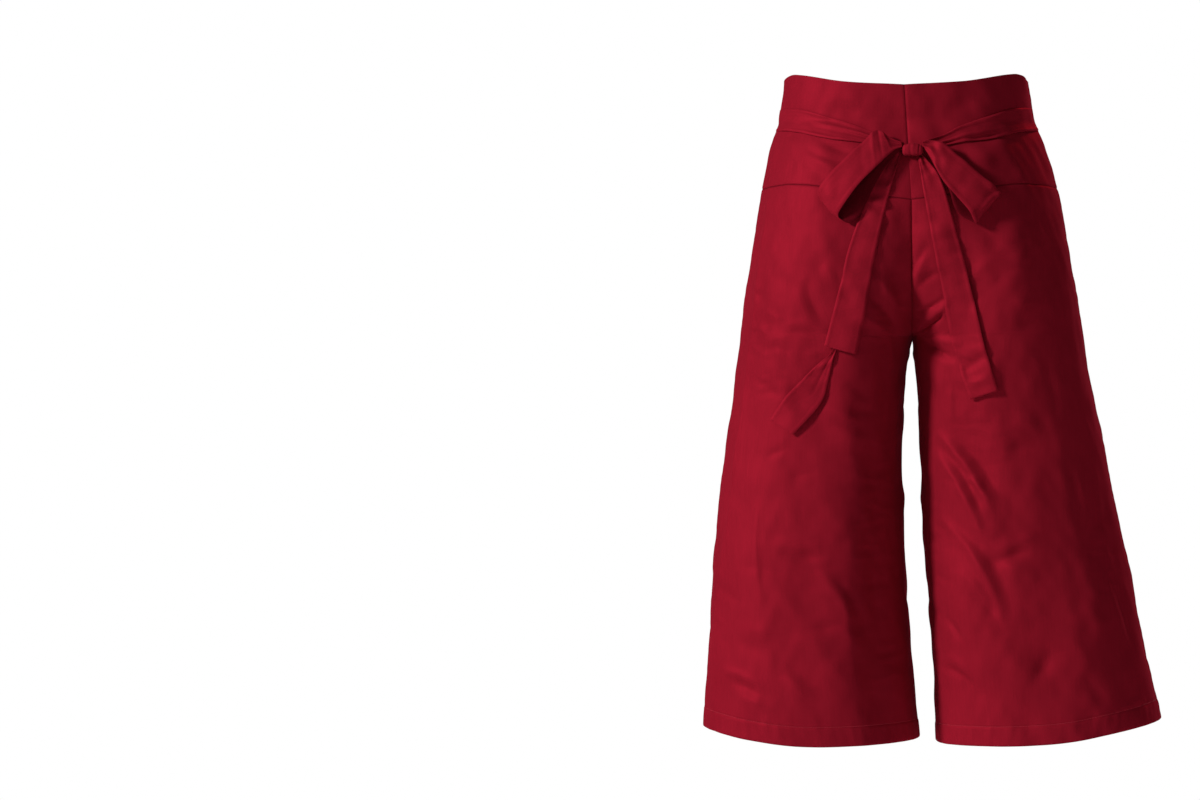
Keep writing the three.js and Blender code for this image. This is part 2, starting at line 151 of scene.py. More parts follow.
# Largest folds, which the frame's solids have too: along a line on the back or the front.
FOLDS = table(
    "face a1 drop1 a2 drop2 width rise",
    ("back", -38, 330, -26, 700, 26, -5),
    ("back", -120, 290, -150, 700, 34, 2.5),
    ("back", 34, 350, 98, 470, 20, 4),
    ("back", 60, 330, 130, 470, 24, -3.5),
    ("back", 40, 470, 90, 570, 18, 3),
    ("back", 150, 320, 190, 690, 34, -3),
    ("back", -120, 26, -70, 48, 12, 2),
    ("back", 120, 26, 74, 48, 12, 2),
    ("front", 128, -40, 20, 84, 20, -4.5),
    ("front", -118, 20, -60, 80, 26, -4),
    ("front", 190, 500, 130, 640, 30, 4.5),
    ("front", 80, 330, 150, 345, 14, -2.5),
    ("front", 92, 395, 175, 372, 12, -3),
    ("front", -60, 480, -130, 500, 16, 3),
    ("front", -108, 520, -160, 566, 14, -3.5),
)

# Creases: a ridge or trough from (a1, drop1) to (a2, drop2). "a" is the distance along X on the
# back and front, and along Y on the sides of the hips and legs. "bend" moves the middle of the
# line sideways, and "crisp" is 2 for a soft fold and less for a sharp one.
CREASES = table(
    "face a1 drop1 a2 drop2 bend width rise crisp",
    # yoke, drawn in under the tie
    ("back", -133, 13, -118, 58, 2, 6, 1.1, 1.7),
    ("back", -114, 26, -70, 45, -4, 4.5, -1.2, 1.5),
    ("back", -98, 19, -56, 34, -3, 4, -1.1, 1.5),
    ("back", -104, 32, -66, 58, -4, 7, 0.9, 1.8),
    ("back", -82, -22, -50, -9, 0, 8, -0.8, 1.8),
    ("back", -70, -30, -20, -14, 3, 10, 0.6, 2),
    ("back", 58, 30, 137, 22, 9, 6, -1.3, 1.6),
    ("back", 66, 24, 128, 12, 5, 4.5, -0.8, 1.6),
    ("back", 60, 42, 120, 44, 4, 9, 0.8, 1.8),
    ("back", 40, -8, 96, -26, 4, 9, -0.7, 1.9),
    ("back", 160, 34, 170, 112, 1, 3, 0.2, 1.7),
    ("back", -147, 18, -157, 84, 0, 3.2, 0.8, 1.7),
    # seat and crotch
    ("back", -111, 176, -88, 230, -5, 8, -1.8, 1.8),
    ("back", -93, 160, -76, 182, 0, 6, 1.0, 1.8),
    ("back", -130, 236, -88, 242, 2, 4, -0.9, 1.6),
    ("back", -40, 168, -8, 214, 3, 7, 1.4, 1.8),
    ("back", -48, 190, -10, 232, 3, 6, -1.6, 1.7),
    ("back", -58, 214, -14, 243, 3, 6, 1.2, 1.7),
    ("back", 12, 170, 30, 134, 4, 5, -1.4, 1.6),
    ("back", 12, 196, 26, 148, 3, 6, 1.3, 1.8),
    ("back", 13, 236, 44, 213, -3, 2.8, -3.0, 1.2),
    ("back", 15, 228, 50, 200, -4, 6, 1.5, 1.7),
    ("back", 15, 240, 56, 268, -3, 3.6, -2.8, 1.3),
    ("back", 190, 320, 238, 690, 0, 36, -2.2, 2),
    ("back", 18, 238, 66, 250, -2, 5, 1.5, 1.6),
    ("back", 58, 285, 90, 260, -2, 5, -1.1, 1.6),
    ("back", 66, 300, 108, 268, -3, 7, 1.0, 1.8),
    ("back", 51, 292, 51, 344, 1, 4, 0.9, 1.6),
    ("back", 70, 184, 112, 146, 4, 8, 1.2, 1.8),
    ("back", 84, 200, 122, 170, 3, 8, -1.0, 1.8),
    ("back", 166, 146, 184, 216, 1, 3.4, 0.3, 1.7),
    # the wearer's left leg
    ("back", -153, 60, -178, 270, 0, 3.2, 1.3, 1.5),
    ("back", -174, 225, -207, 500, 1, 3.0, 1.7, 1.4),
    ("back", -204, 440, -224, 640, 1, 3.0, 1.3, 1.4),
    ("back", -178, 370, -177, 430, 0, 3, 0.8, 1.5),
    ("back", -40, 300, -30, 720, 3, 16, -1.8, 2),
    ("back", -46, 60, -54, 560, 0, 36, 2.8, 2),
    ("back", -56, 160, -94, 820, 0, 44, 3.4, 2),
    ("back", 14, 118, 14, 238, 0, 11, 1.9, 2),
    ("back", 56, 120, 66, 290, 0, 26, -3.0, 2),
    ("back", 50, 480, 52, 780, 0, 30, 2.0, 2),
    ("back", 98, 230, 112, 760, 0, 40, 2.6, 2),
    ("back", 168, 420, 192, 780, 0, 34, 1.6, 2),
    ("back", 12, 214, 46, 196, -3, 3.2, -1.8, 1.3),
    ("back", 14, 188, 42, 168, 3, 4, -1.5, 1.4),
    ("back", 60, 270, 72, 420, 0, 20, -1.4, 2),
    ("back", -166, 424, -160, 545, -4, 4, 1.1, 1.6),
    ("back", -161, 296, -138, 310, 0, 5, -0.9, 1.6),
    ("back", -157, 379, -130, 367, 2, 5, -1.1, 1.6),
    ("back", -92, 320, -52, 337, 0, 5, 1.0, 1.7),
    ("back", -86, 334, -50, 346, 0, 5, -0.9, 1.7),
    ("back", -128, 400, -98, 392, 0, 5, -0.7, 1.7),
    ("back", -145, 484, -86, 489, -2, 6, -1.1, 1.7),
    ("back", -138, 474, -92, 477, -2, 6, 0.7, 1.8),
    ("back", -211, 524, -182, 546, 0, 7, -1.3, 1.7),
    ("back", -102, 503, -60, 572, 6, 6, 1.4, 1.6),
    ("back", -92, 500, -54, 558, 6, 6, -1.1, 1.6),
    ("back", -117, 570, -70, 565, -3, 6, -1.1, 1.7),
    ("back", -211, 617, -160, 636, 2, 5, 1.4, 1.5),
    ("back", -205, 628, -152, 650, 2, 5, -1.2, 1.6),
    ("back", -138, 622, -112, 650, 3, 8, 1.3, 1.8),
    ("back", -20, 600, 6, 700, 4, 13, 2.4, 1.8),
    ("back", -66, 470, -52, 660, -5, 9, 1.0, 1.8),
    # the wearer's right leg
    ("back", 32, 344, 103, 450, 8, 5, 2.3, 1.4),
    ("back", 44, 346, 112, 436, 8, 7, -1.9, 1.6),
    ("back", 31, 365, 92, 486, 9, 5, 2.0, 1.4),
    ("back", 34, 358, 92, 458, 8, 4.5, -1.6, 1.5),
    ("back", 92, 494, 140, 479, -3, 7, -2.2, 1.6),
    ("back", 100, 480, 150, 462, -2, 7, 1.0, 1.8),
    ("back", 34, 440, 112, 577, 16, 6, 2.2, 1.5),
    ("back", 48, 446, 122, 560, 14, 10, -2.0, 1.7),
    ("back", 48, 556, 66, 584, 2, 3.2, -1.4, 1.4),
    ("back", 50, 612, 78, 638, 3, 3.4, -1.5, 1.4),
    ("back", 47, 598, 78, 628, 3, 6, 1.0, 1.7),
    ("back", 141, 632, 164, 588, -3, 8, -2.0, 1.7),
    ("back", 188, 378, 207, 468, 5, 5, 0.9, 1.7),
    ("back", 229, 500, 261, 608, 3, 3.6, -1.3, 1.5),
    ("back", 222, 500, 252, 600, 3, 5, 0.8, 1.7),
    ("back", 150, 250, 176, 360, 4, 7, -0.8, 1.9),
    ("back", -150, 250, -128, 262, 1, 4, -0.8, 1.6),
    ("back", -142, 232, -96, 228, 3, 6, 0.8, 1.7),
    ("back", -116, 262, -84, 254, -2, 5, 0.8, 1.7),
    ("back", -70, 292, -44, 316, 3, 9, -1.4, 1.8),
    ("back", -64, 322, -30, 330, 2, 8, -1.5, 1.8),
    ("back", -76, 352, -22, 368, 4, 10, 1.0, 1.8),
    ("back", -104, 440, -62, 452, -4, 14, 0.8, 1.9),
    ("back", -178, 470, -120, 476, -4, 9, 0.8, 1.8),
    ("back", -190, 500, -132, 514, 4, 8, -0.9, 1.8),
    ("back", -186, 566, -140, 576, -4, 9, 1.0, 1.8),
    ("back", -196, 586, -150, 604, 4, 10, -0.9, 1.9),
    ("back", -128, 582, -84, 602, 4, 9, 0.9, 1.8),
    ("back", -130, 604, -100, 634, -4, 9, -1.0, 1.8),
    ("back", -96, 610, -62, 630, 4, 10, 0.8, 1.8),
    ("back", -190, 648, -146, 664, 2, 5, 0.8, 1.7),
    ("back", -58, 540, -38, 600, 4, 8, -0.9, 1.8),
    ("back", -8, 560, 8, 660, 4, 6, 0.9, 1.7),
    ("back", 100, 340, 150, 330, -4, 10, 0.9, 1.9),
    ("back", 108, 372, 158, 352, -4, 12, -0.9, 1.9),
    ("back", 60, 394, 96, 426, 4, 4, 1.3, 1.5),
    ("back", 84, 420, 118, 428, 3, 6, 1.0, 1.7),
    ("back", 118, 430, 156, 404, -4, 12, 0.9, 1.9),
    ("back", 104, 498, 150, 512, 4, 10, 0.9, 1.9),
    ("back", 60, 504, 96, 548, 6, 5, 1.0, 1.6),
    ("back", 70, 528, 112, 580, 8, 7, -1.1, 1.7),
    ("back", 92, 560, 140, 574, 5, 10, 1.0, 1.8),
    ("back", 66, 632, 106, 660, 4, 9, -0.9, 1.8),
    ("back", 112, 602, 140, 632, 4, 10, 1.0, 1.8),
    ("back", 158, 560, 186, 610, 4, 12, 0.8, 1.9),
    ("back", 196, 620, 232, 660, 4, 10, -0.8, 1.9),
    ("back", 112, 216, 150, 196, 3, 9, 0.8, 1.8),
    ("back", 108, 244, 168, 216, 3, 11, -0.8, 1.9),
    # front yoke and crotch
    ("front", 140, -2, 92, 20, 3, 5, -1.8, 1.6),
    ("front", 142, 8, 98, 46, 4, 6, -1.2, 1.7),
    ("front", 122, -58, 20, 74, 5, 14, -2.5, 1.8),
    ("front", -122, -30, -48, 78, -6, 15, -1.9, 1.9),
    ("front", 140, 2, 96, 32, 3, 6, 1.5, 1.7),
    ("front", -138, -2, -88, -18, -3, 7, -1.0, 1.8),
    ("front", -140, 6, -94, 34, -4, 7, -1.1, 1.7),
    ("front", -140, 10, -104, 58, -3, 6, 1.5, 1.7),
    ("front", -30, -30, -70, 10, 0, 12, -1.5, 2),
    ("front", 84, 226, 28, 212, -3, 5, -2.2, 1.5),
    ("front", 78, 214, 26, 200, -3, 6, 1.7, 1.7),
    ("front", -19, 170, -8, 200, 2, 4, -2.4, 1.5),
    ("front", -54, 196, -4, 226, 4, 6, -2.1, 1.6),
    ("front", -60, 214, -8, 238, 4, 6, 1.8, 1.6),
    ("front", 56, 236, 14, 232, 3, 5, -2.0, 1.6),
    ("front", -70, 128, -20, 150, 4, 10, -1.4, 1.9),
    ("front", 30, 128, 78, 116, 4, 10, -1.4, 1.9),
    # front of the legs
    ("front", 141, 87, 89, 126, 5, 6, -1.5, 1.5),
    ("front", 138, 98, 92, 138, 5, 7, 1.2, 1.7),
    ("front", 153, 172, 89, 184, 4, 5, -1.8, 1.5),
    ("front", 150, 184, 94, 196, 4, 6, 1.3, 1.7),
    ("front", 160, 201, 130, 206, 2, 4, -1.4, 1.5),
    ("front", 140, 212, 96, 254, 7, 6, -1.8, 1.6),
    ("front", 134, 267, 91, 281, 3, 5, -2.0, 1.5),
    ("front", 130, 280, 92, 294, 3, 6, 1.4, 1.7),
    ("front", 119, 323, 89, 318, -2, 4, -1.6, 1.5),
    ("front", 81, 132, 55, 121, 2, 5, -1.4, 1.6),
    ("front", 59, 302, 25, 310, 3, 4, -1.8, 1.4),
    ("front", -92, 204, -126, 198, 2, 4, -1.6, 1.5),
    ("front", -58, 187, -50, 212, 2, 5, -1.6, 1.6),
    ("front", -32, 271, -73, 267, -3, 5, -1.5, 1.6),
    ("front", -96, 302, -118, 319, 2, 4, -1.8, 1.5),
    ("front", -60, 330, -98, 352, 3, 6, 1.5, 1.7),
    ("front", 150, 420, 104, 432, 4, 6, -1.6, 1.6),
    ("front", 160, 560, 112, 574, 4, 7, 1.6, 1.7),
    ("front", 84, 430, 50, 446, 3, 6, -1.5, 1.6),
    ("front", 84, 372, 46, 384, 3, 6, 1.5, 1.7),
    ("front", 140, 318, 92, 311, 2, 5, -2.0, 1.6),
    ("front", 136, 306, 94, 300, 2, 6, 1.4, 1.7),
    ("front", 172, 360, 98, 378, 3, 6, 2.0, 1.6),
    ("front", 178, 373, 88, 396, 3, 6, -2.4, 1.6),
    ("front", 168, 390, 94, 409, 3, 6, 1.7, 1.6),
    ("front", 184, 458, 98, 455, -4, 6, -2.2, 1.6),
    ("front", 180, 446, 104, 443, -4, 7, 1.5, 1.7),
    ("front", 174, 511, 102, 534, 4, 6, -2.2, 1.6),
    ("front", 170, 499, 108, 520, 4, 7, 1.5, 1.7),
    ("front", 124, 559, 98, 526, 2, 3.6, -1.7, 1.4),
    ("front", 57, 508, 39, 485, 2, 3.6, -2.0, 1.4),
    ("front", 193, 536, 122, 634, 22, 11, 2.7, 1.8),
    ("front", -109, 526, -161, 580, 4, 4.5, -1.5, 1.5),
    ("front", -104, 534, -152, 590, 4, 6, 1.0, 1.6),
    ("front", -40, 360, -34, 560, 6, 8, 1.8, 1.8),
    ("front", -52, 350, -50, 540, 6, 9, -2.1, 1.8),
    ("front", -92, 300, -60, 262, -3, 7, -1.8, 1.7),
    ("front", -120, 410, -76, 398, 3, 7, -1.7, 1.7),
    ("front", -170, 470, -140, 560, 4, 8, 1.5, 1.8),
    ("front", -60, 620, -40, 690, 3, 9, 2.1, 1.8),
    ("front", 60, 590, 48, 690, 3, 10, -2.4, 1.8),
    ("front", 8, 40, 8, 246, 0, 20, -2.0, 2),
    ("front", 179, 448, 130, 466, -4, 5, -1.0, 1.6),
    ("front", 120, 454, 62, 448, 2, 4, -1.7, 1.4),
    ("front", 168, 513, 96, 530, 4, 5, 1.8, 1.5),
    ("front", 224, 590, 168, 640, 8, 9, -2.4, 1.7),
    ("front", 168, 640, 119, 571, 8, 9, -2.2, 1.7),
    ("front", 153, 634, 119, 630, 0, 5, 1.5, 1.6),
    ("front", 118, 600, 70, 612, -4, 9, -1.3, 1.8),
    ("front", 96, 640, 52, 648, 3, 8, 1.2, 1.8),
    ("front", -47, 396, -81, 420, 3, 4, -2.0, 1.4),
    ("front", -96, 456, -126, 450, 2, 4, -1.8, 1.4),
    ("front", -81, 483, -137, 507, 3, 5, -2.0, 1.5),
    ("front", -115, 551, -72, 586, 6, 4, -2.0, 1.4),
    ("front", -17, 325, -41, 404, -8, 5, -2.0, 1.5),
    ("front", -145, 337, -107, 396, 8, 5, -1.6, 1.6),
    ("front", -66, 500, -36, 540, 4, 9, 1.6, 1.8),
    ("front", -128, 610, -76, 634, 6, 9, -1.5, 1.8),
    ("front", -112, 654, -56, 660, 4, 7, 1.3, 1.8),
    # sides, from back (minus) to front (plus)
    ("left side", -46, 108, 30, 146, 5, 9, -1.1, 1.8),
    ("left side", -52, 150, 10, 196, 5, 8, 1.1, 1.8),
    ("left side", 40, 220, -24, 262, -5, 8, -1.3, 1.7),
    ("left side", -30, 330, 44, 348, 5, 7, -1.2, 1.6),
    ("left side", 36, 440, -20, 520, 6, 9, 1.2, 1.8),
    ("left side", -40, 560, 24, 600, 5, 7, -1.4, 1.6),
    ("left side", 10, 20, -6, 66, 2, 6, -1.0, 1.7),
    ("left side", -20, 12, -44, 60, 2, 7, 0.9, 1.7),
    ("right side", -44, 120, 34, 152, 5, 9, -1.1, 1.8),
    ("right side", -50, 170, 16, 214, 5, 8, 1.2, 1.8),
    ("right side", 44, 250, -30, 286, -5, 8, -1.3, 1.7),
    ("right side", -34, 350, 40, 384, 5, 7, -1.3, 1.6),
    ("right side", 34, 450, -26, 530, 6, 9, 1.3, 1.8),
    ("right side", -42, 590, 30, 622, 5, 7, -1.4, 1.6),
    ("right side", 8, 22, -8, 68, 2, 6, -1.0, 1.7),
    ("right side", -22, 14, -46, 64, 2, 7, 0.9, 1.7),
    ("inside", -50, 300, 30, 330, 5, 7, -1.3, 1.6),
    ("inside", 40, 400, -34, 440, 5, 8, 1.3, 1.7),
    ("inside", -40, 520, 36, 560, 5, 8, -1.3, 1.7),
    ("inside", -30, 260, 40, 272, 5, 5, 1.2, 1.6),
)

TIE_CLOTH = 1.8  # thickness of the frame's ties
TIE_CLEARANCE = 0.7  # from the cloth to the back of a tie
TIE_LIFT = 0.5  # of the loops, the ends and the knot, over what their tables say

# The band by its reach, the share of the way from the side seam to the knot. The other stretches
# are given by their middle line and width, or by their two edges. "out" is the distance from the
# cloth beneath.
BAND = table(
    "reach drop width",
    (0, -7.5, 26),
    (0.4, -3.5, 26),
    (0.68, 7.5, 24),
    (0.82, 14, 18),
    (0.91, 20.5, 13),
    (1, 28, 9),
)
TAIL_LEFT = table(
    "x drop width out",
    (-7, 34.5, 7, 1.8),
    (-20.5, 63, 16, 1.8),
    (-31, 88, 23, 1.8),
    (-37, 107, 25.5, 2),
    (-49, 148, 30, 2.8),
    (-55.5, 178, 30.5, 3.4),
    (-64, 214, 32, 4),
    (-74.7, 254.5, 32.5, 4.4),
)
TAIL_LEFT_END = table(
    "x1 drop1 out1 x2 drop2 out2",
    (-78, 238, 2.2, -73, 238, 2),
    (-83, 258, 2.4, -78.5, 257, 2),
    (-98, 272, 2.8, -82.5, 272, 2),
    (-110, 284, 3, -86.5, 290, 2),
    (-120, 295, 3.8, -91, 309, 3),
    (-132, 308, 4.2, -101, 325, 3.6),
    (-149.5, 334, 4.6, -124.5, 351.5, 4),
)
TAIL_RIGHT = table(
    "x drop width out",
    (18, 41, 7, 1.8),
    (29.5, 67, 21, 1.8),
    (39.5, 107, 26, 2),
    (50.5, 155, 30, 3),
    (63, 214, 33, 3.8),
    (75, 262, 34, 3.4),
    (89.5, 306, 32, 2.2),
)
LOOP_LEFT = table(
    "x1 drop1 out1 x2 drop2 out2",
    (-4, 26.5, 9.5, -4, 32, 9),
    (-18, 21, 11, -12, 36, 11),
    (-32, 15.5, 13.5, -22, 45.5, 14),
    (-51, 31.5, 14, -34.5, 58, 17),
    (-73, 54, 14.5, -50, 74, 18.5),
    (-88.5, 72, 13.5, -65.5, 95, 17),
    (-94.5, 83, 9.5, -73, 107, 12),
    (-93, 89, 5.5, -69, 113.5, 7),
    (-84, 85, 4, -59, 114, 4.6),
    (-69, 77, 4.2, -48.7, 104, 4.6),
    (-49, 50, 4.6, -31, 67, 5),
    (-25, 30, 4.6, -16, 45, 5),
    (-4, 27, 4.6, -4, 32.5, 4.6),
)
LOOP_RIGHT = table(
    "x1 drop1 out1 x2 drop2 out2",
    (20.5, 26, 9.5, 20.5, 32, 9),
    (33, 25, 10.5, 27.5, 42.5, 10.5),
    (46, 31, 11.5, 34.5, 56, 12),
    (62, 45.5, 12.5, 43, 70, 13.5),
    (80, 61.5, 12.5, 57, 86, 13.5),
    (96, 75, 11, 70.5, 102, 12.2),
    (102, 80.8, 9.6, 76, 112.5, 10.5),
    (103.8, 82.8, 6.8, 77.8, 115.8, 7.4),
    (101, 81.2, 4.7, 75.5, 114.5, 4.9),
    (83, 68, 4.2, 57, 101, 4.4),
    (65, 52, 4.6, 47.5, 73, 4.8),
    (43, 35, 4.8, 34, 52, 4.8),
    (21.1, 27, 4.6, 21.1, 32.5, 4.6),
)
KNOT = {"left": -2.8, "right": 19.9, "drop": 32, "half_height": 7, "thickness": 12}


# ---------------------------------------------------------------- settings


class PANTS_PG_cloth(bpy.types.PropertyGroup):
    """Sizes and colour of the cut cloth."""

    wall: bpy.props.FloatProperty(
        name="Cloth",
        description="Thickness of one layer with its nap",
        default=0.0009,
        unit="LENGTH",
    )
    hem_wall: bpy.props.FloatProperty(
        name="Hem",
        description="Thickness where the hem is turned up",
        default=0.0024,
        unit="LENGTH",
    )
    hem_depth: bpy.props.FloatProperty(
        name="Hem Depth", description="Width of the turned hem", default=0.0215, unit="LENGTH"
    )
    crease_strength: bpy.props.FloatProperty(
        name="Creases",
        description="Height of all creases, 1 as tabled",
        default=2.0,
        subtype="FACTOR",
    )
    ripple: bpy.props.FloatProperty(
        name="Ripple", description="Height of the cloth's uneven lie", default=0.0011, unit="LENGTH"
    )
    crumple: bpy.props.FloatProperty(
        name="Crumples",
        description="Height of the patches of sharp crumples",
        default=0.0015,
        unit="LENGTH",
    )
    groove: bpy.props.FloatProperty(
        name="Seam Groove",
        description="Depth of the valley at a seam",
        default=0.0007,
        unit="LENGTH",
    )
    colour: bpy.props.FloatVectorProperty(
        name="Colour",
        description="Dye of the cloth",
        default=(0.285, 0.0086, 0.0212),
        size=3,
        subtype="COLOR",
    )
    sheen: bpy.props.FloatProperty(
        name="Sheen",
        description="Strength of the satin's soft edge light",
        default=0.12,
        subtype="FACTOR",
    )
    roughness: bpy.props.FloatProperty(
        name="Roughness", description="Mean roughness of the satin", default=0.6, subtype="FACTOR"
    )


class PANTS_PG_tie(bpy.types.PropertyGroup):
    """Sizes of the tie that is knotted in a bow."""

    wall: bpy.props.FloatProperty(
        name="Tie", description="Thickness of the doubled tie", default=0.0011, unit="LENGTH"
    )
    edge: bpy.props.FloatProperty(
        name="Edge Fullness",
        description="Rise of the pressed fold along each edge",
        default=0.00035,
        unit="LENGTH",
    )
    wrinkle: bpy.props.FloatProperty(
        name="Wrinkles", description="Height of the small wrinkles", default=0.0006, unit="LENGTH"
    )


class PANTS_PG_stitch(bpy.types.PropertyGroup):
    """Sizes and colour of the lockstitch that shows on the hems."""

    pitch: bpy.props.FloatProperty(
        name="Pitch", description="Distance from stitch to stitch", default=0.0032, unit="LENGTH"
    )
    length: bpy.props.FloatProperty(
        name="Length", description="Length of one stitch", default=0.0021, unit="LENGTH"
    )
    thickness: bpy.props.FloatProperty(
        name="Thread", description="Thickness of the thread", default=0.0008, unit="LENGTH"
    )
    colour: bpy.props.FloatVectorProperty(
        name="Thread Colour",
        description="Colour of the thread",
        default=(0.55, 0.03, 0.055),
        size=3,
        subtype="COLOR",
    )


class PANTS_PG_stage(bpy.types.PropertyGroup):
    """Floor, lights and camera."""

    floor_height: bpy.props.FloatProperty(
        name="Floor",
        description="Height of the floor under a standing wearer",
        default=-1.05,
        unit="LENGTH",
    )
    key: bpy.props.FloatProperty(
        name="Key Light", description="Power of the large light", default=262.0, unit="POWER"
    )
    fill: bpy.props.FloatProperty(
        name="Fill Light", description="Power of the weak light", default=7.0, unit="POWER"
    )
    ambient: bpy.props.FloatProperty(
        name="Ambient", description="Strength of the light from all round", default=0.12
    )


class PANTS_PG_settings(bpy.types.PropertyGroup):
    """All settings of the pants."""

    cloth: bpy.props.PointerProperty(type=PANTS_PG_cloth)
    tie: bpy.props.PointerProperty(type=PANTS_PG_tie)
    stitch: bpy.props.PointerProperty(type=PANTS_PG_stitch)
    stage: bpy.props.PointerProperty(type=PANTS_PG_stage)


# ---------------------------------------------------------------- shape of the worn body


def mix(a, b, share):
    return a + (b - a) * share


def signed_power(value, power):
    return np.sign(value) * np.abs(value) ** power


def smoothstep(value, low, high):
    t = np.clip((value - low) / (high - low), 0, 1)
    return t * t * (3 - 2 * t)


def bell(distance, width, power=2):
    """1 where the distance is 0, falling away on both sides."""
    return np.exp(-(np.abs(distance / width) ** power))


def smooth(rows, key, column):
    """Smooth curve through one column of a table, by another of its columns."""
    at, value = rows[key], rows[column]
    slope = np.gradient(value)
    slope[1:-1] = (value[2:] - value[:-2]) / (at[2:] - at[:-2])
    slope[0] = (value[1] - value[0]) / (at[1] - at[0])
    slope[-1] = (value[-1] - value[-2]) / (at[-1] - at[-2])

    def curve(t):
        t = np.clip(t, at[0], at[-1])
        i = np.clip(np.searchsorted(at, t, side="right") - 1, 0, len(at) - 2)
        span = at[i + 1] - at[i]
        s = (t - at[i]) / span
        rest = 1 - s
        ends = value[i] * rest * rest * (1 + 2 * s) + value[i + 1] * s * s * (3 - 2 * s)
        return ends + span * s * rest * (slope[i] * rest - slope[i + 1] * s)

    return curve


def both_sides(rows, key):
    return {LEFT: smooth(rows, key, "left"), RIGHT: smooth(rows, key, "right")}


def both_faces(rows, key):
    return {"back": smooth(rows, key, "back"), "front": smooth(rows, key, "front")}


REACH = both_faces(BODY, "drop")
OUTSIDE_X = both_sides(BODY, "drop")
INSIDE_X = both_sides(INSIDE, "drop")
SEAM_TURN = smooth(INSIDE, "drop", "turn")
PANEL_SHARE = both_sides(PANEL_SEAM, "drop")
HEM_LINE = both_sides(HEM, "share")
WAIST_LINE = both_faces(WAIST_EDGE, "share")
YOKE_LINE = both_faces(YOKE_SEAM, "share")


def centre_x(drop):
    return np.interp(drop, CENTRE_SEAM["drop"], CENTRE_SEAM["x"])


def section(side, drop):
    """Outer, inner, centre and half width of one half's section, measured from the centre seam."""
    seam = centre_x(drop)
    outer = side * (side * OUTSIDE_X[side](drop) - seam)
    closed = drop >= CROTCH_DROP
    inner = np.where(closed, side * (INSIDE_X[side](drop) - seam), 0.0)
    share = np.clip((drop - WAIST_DROP) / (CROTCH_DROP - WAIST_DROP), 0, 1)
    fullness = (1 - share**CROTCH_CURVE) ** (1 / CROTCH_CURVE)
    lean = (1 - fullness**SQUARENESS) ** (1 / SQUARENESS)
    half = np.where(closed, (outer - inner) / 2, outer / (1 + lean))
    centre = np.where(closed, (outer + inner) / 2, outer - half)
    return outer, inner, centre, half


def angle_at(side, drop, distance):
    """Angle at which the section passes a distance from the centre seam, on the back."""
    _, _, centre, half = section(side, drop)
    across = np.clip((distance - centre) / half, -1, 1)
    return np.arccos(signed_power(across, SQUARENESS / 2))


def plain_point(side, angle, drop):
    """Point of the unfolded body. 0 is the side seam, a quarter turn the middle of the back."""
    _, _, centre, half = section(side, drop)
    across = signed_power(np.cos(angle), 2 / SQUARENESS)
    outward = signed_power(np.sin(angle), 2 / SQUARENESS)
    reach = np.where(outward > 0, REACH["back"](drop), REACH["front"](drop))
    x = centre_x(drop) + side * (centre + half * across)
    return np.stack([x, -reach * outward, -drop + 0 * angle], axis=-1)


def unit(vectors):
    return vectors / np.maximum(np.linalg.norm(vectors, axis=-1, keepdims=True), 1e-9)


def normal_at(side, angle, drop):
    """Direction outward from the unfolded body."""
    step = 0.004
    round_it = plain_point(side, angle + step, drop) - plain_point(side, angle - step, drop)
    down = plain_point(side, angle, drop + 1) - plain_point(side, angle, drop - 1)
    return unit(np.cross(round_it, down)) * side


# Range of the sine in which a crease of the back or front comes up, and of the cosine for a side.
FACING = (0.05, 0.5)
BESIDE = (0.3, 0.75)


def face_shares(side, angle, drop):
    """Share from 0 to 1 by which each point belongs to the back, front, sides and inside leg."""
    sine, cosine = np.sin(angle), np.cos(angle)
    facing = smoothstep(np.abs(sine), *FACING)
    beside = smoothstep(np.abs(cosine), *BESIDE)
    outside = beside * (cosine > 0)
    return {
        "back": facing * (sine > 0),
        "front": facing * (sine <= 0),
        "left side": outside * (side == LEFT),
        "right side": outside * (side == RIGHT),
        "inside": beside * (cosine < 0) * (drop > CROTCH_DROP),
    }


def along_line(rows, i, across, drop):
    """Share along the line of a fold or crease, distance from it, and height of its taper."""
    a, b = rows["a1"][i], rows["drop1"][i]
    run, fall = rows["a2"][i] - a, rows["drop2"][i] - b
    length = math.hypot(run, fall)
    share = ((across - a) * run + (drop - b) * fall) / length**2
    away = ((across - a) * fall - (drop - b) * run) / length
    inside = (share > 0) & (share < 1)
    share = np.clip(share, 0, 1)
    return share, away, np.where(inside, np.sin(np.pi * share), 0)


FOLD_FULLNESS = 0.7  # power that keeps the frame's folds high nearly to their ends


def fold_rise(point, side, angle, drop):
    """The frame's own folds, with the frame's own taper."""
    shares = face_shares(side, angle, drop)
    rise = 0.0
    for i, face in enumerate(FOLDS["face"]):
        _, away, taper = along_line(FOLDS, i, point[..., 0], drop)
        profile = bell(away, FOLDS["width"][i])
        rise = rise + FOLDS["rise"][i] * profile * taper**FOLD_FULLNESS * shares[face]
    return rise


# Height of the creases on each face, beside the height in their table.
CREASE_WEIGHTS = {"back": 1, "front": 1.4, "left side": 0.4, "right side": 0.4, "inside": 0.6}


def crease_rise(point, side, angle, drop):
    """All creases, softened where a face turns into a side."""
    shares = face_shares(side, angle, drop)
    weighted = {face: share * CREASE_WEIGHTS[face] for face, share in shares.items()}
    rise = 0.0
    for i, face in enumerate(CREASES["face"]):
        across = point[..., 0] if face in ("back", "front") else point[..., 1]
        share, away, taper = along_line(CREASES, i, across, drop)
        away = away - CREASES["bend"][i] * 4 * share * (1 - share)
        profile = bell(away, CREASES["width"][i], CREASES["crisp"][i])
        rise = rise + CREASES["rise"][i] * profile * taper * weighted[face]
    return rise


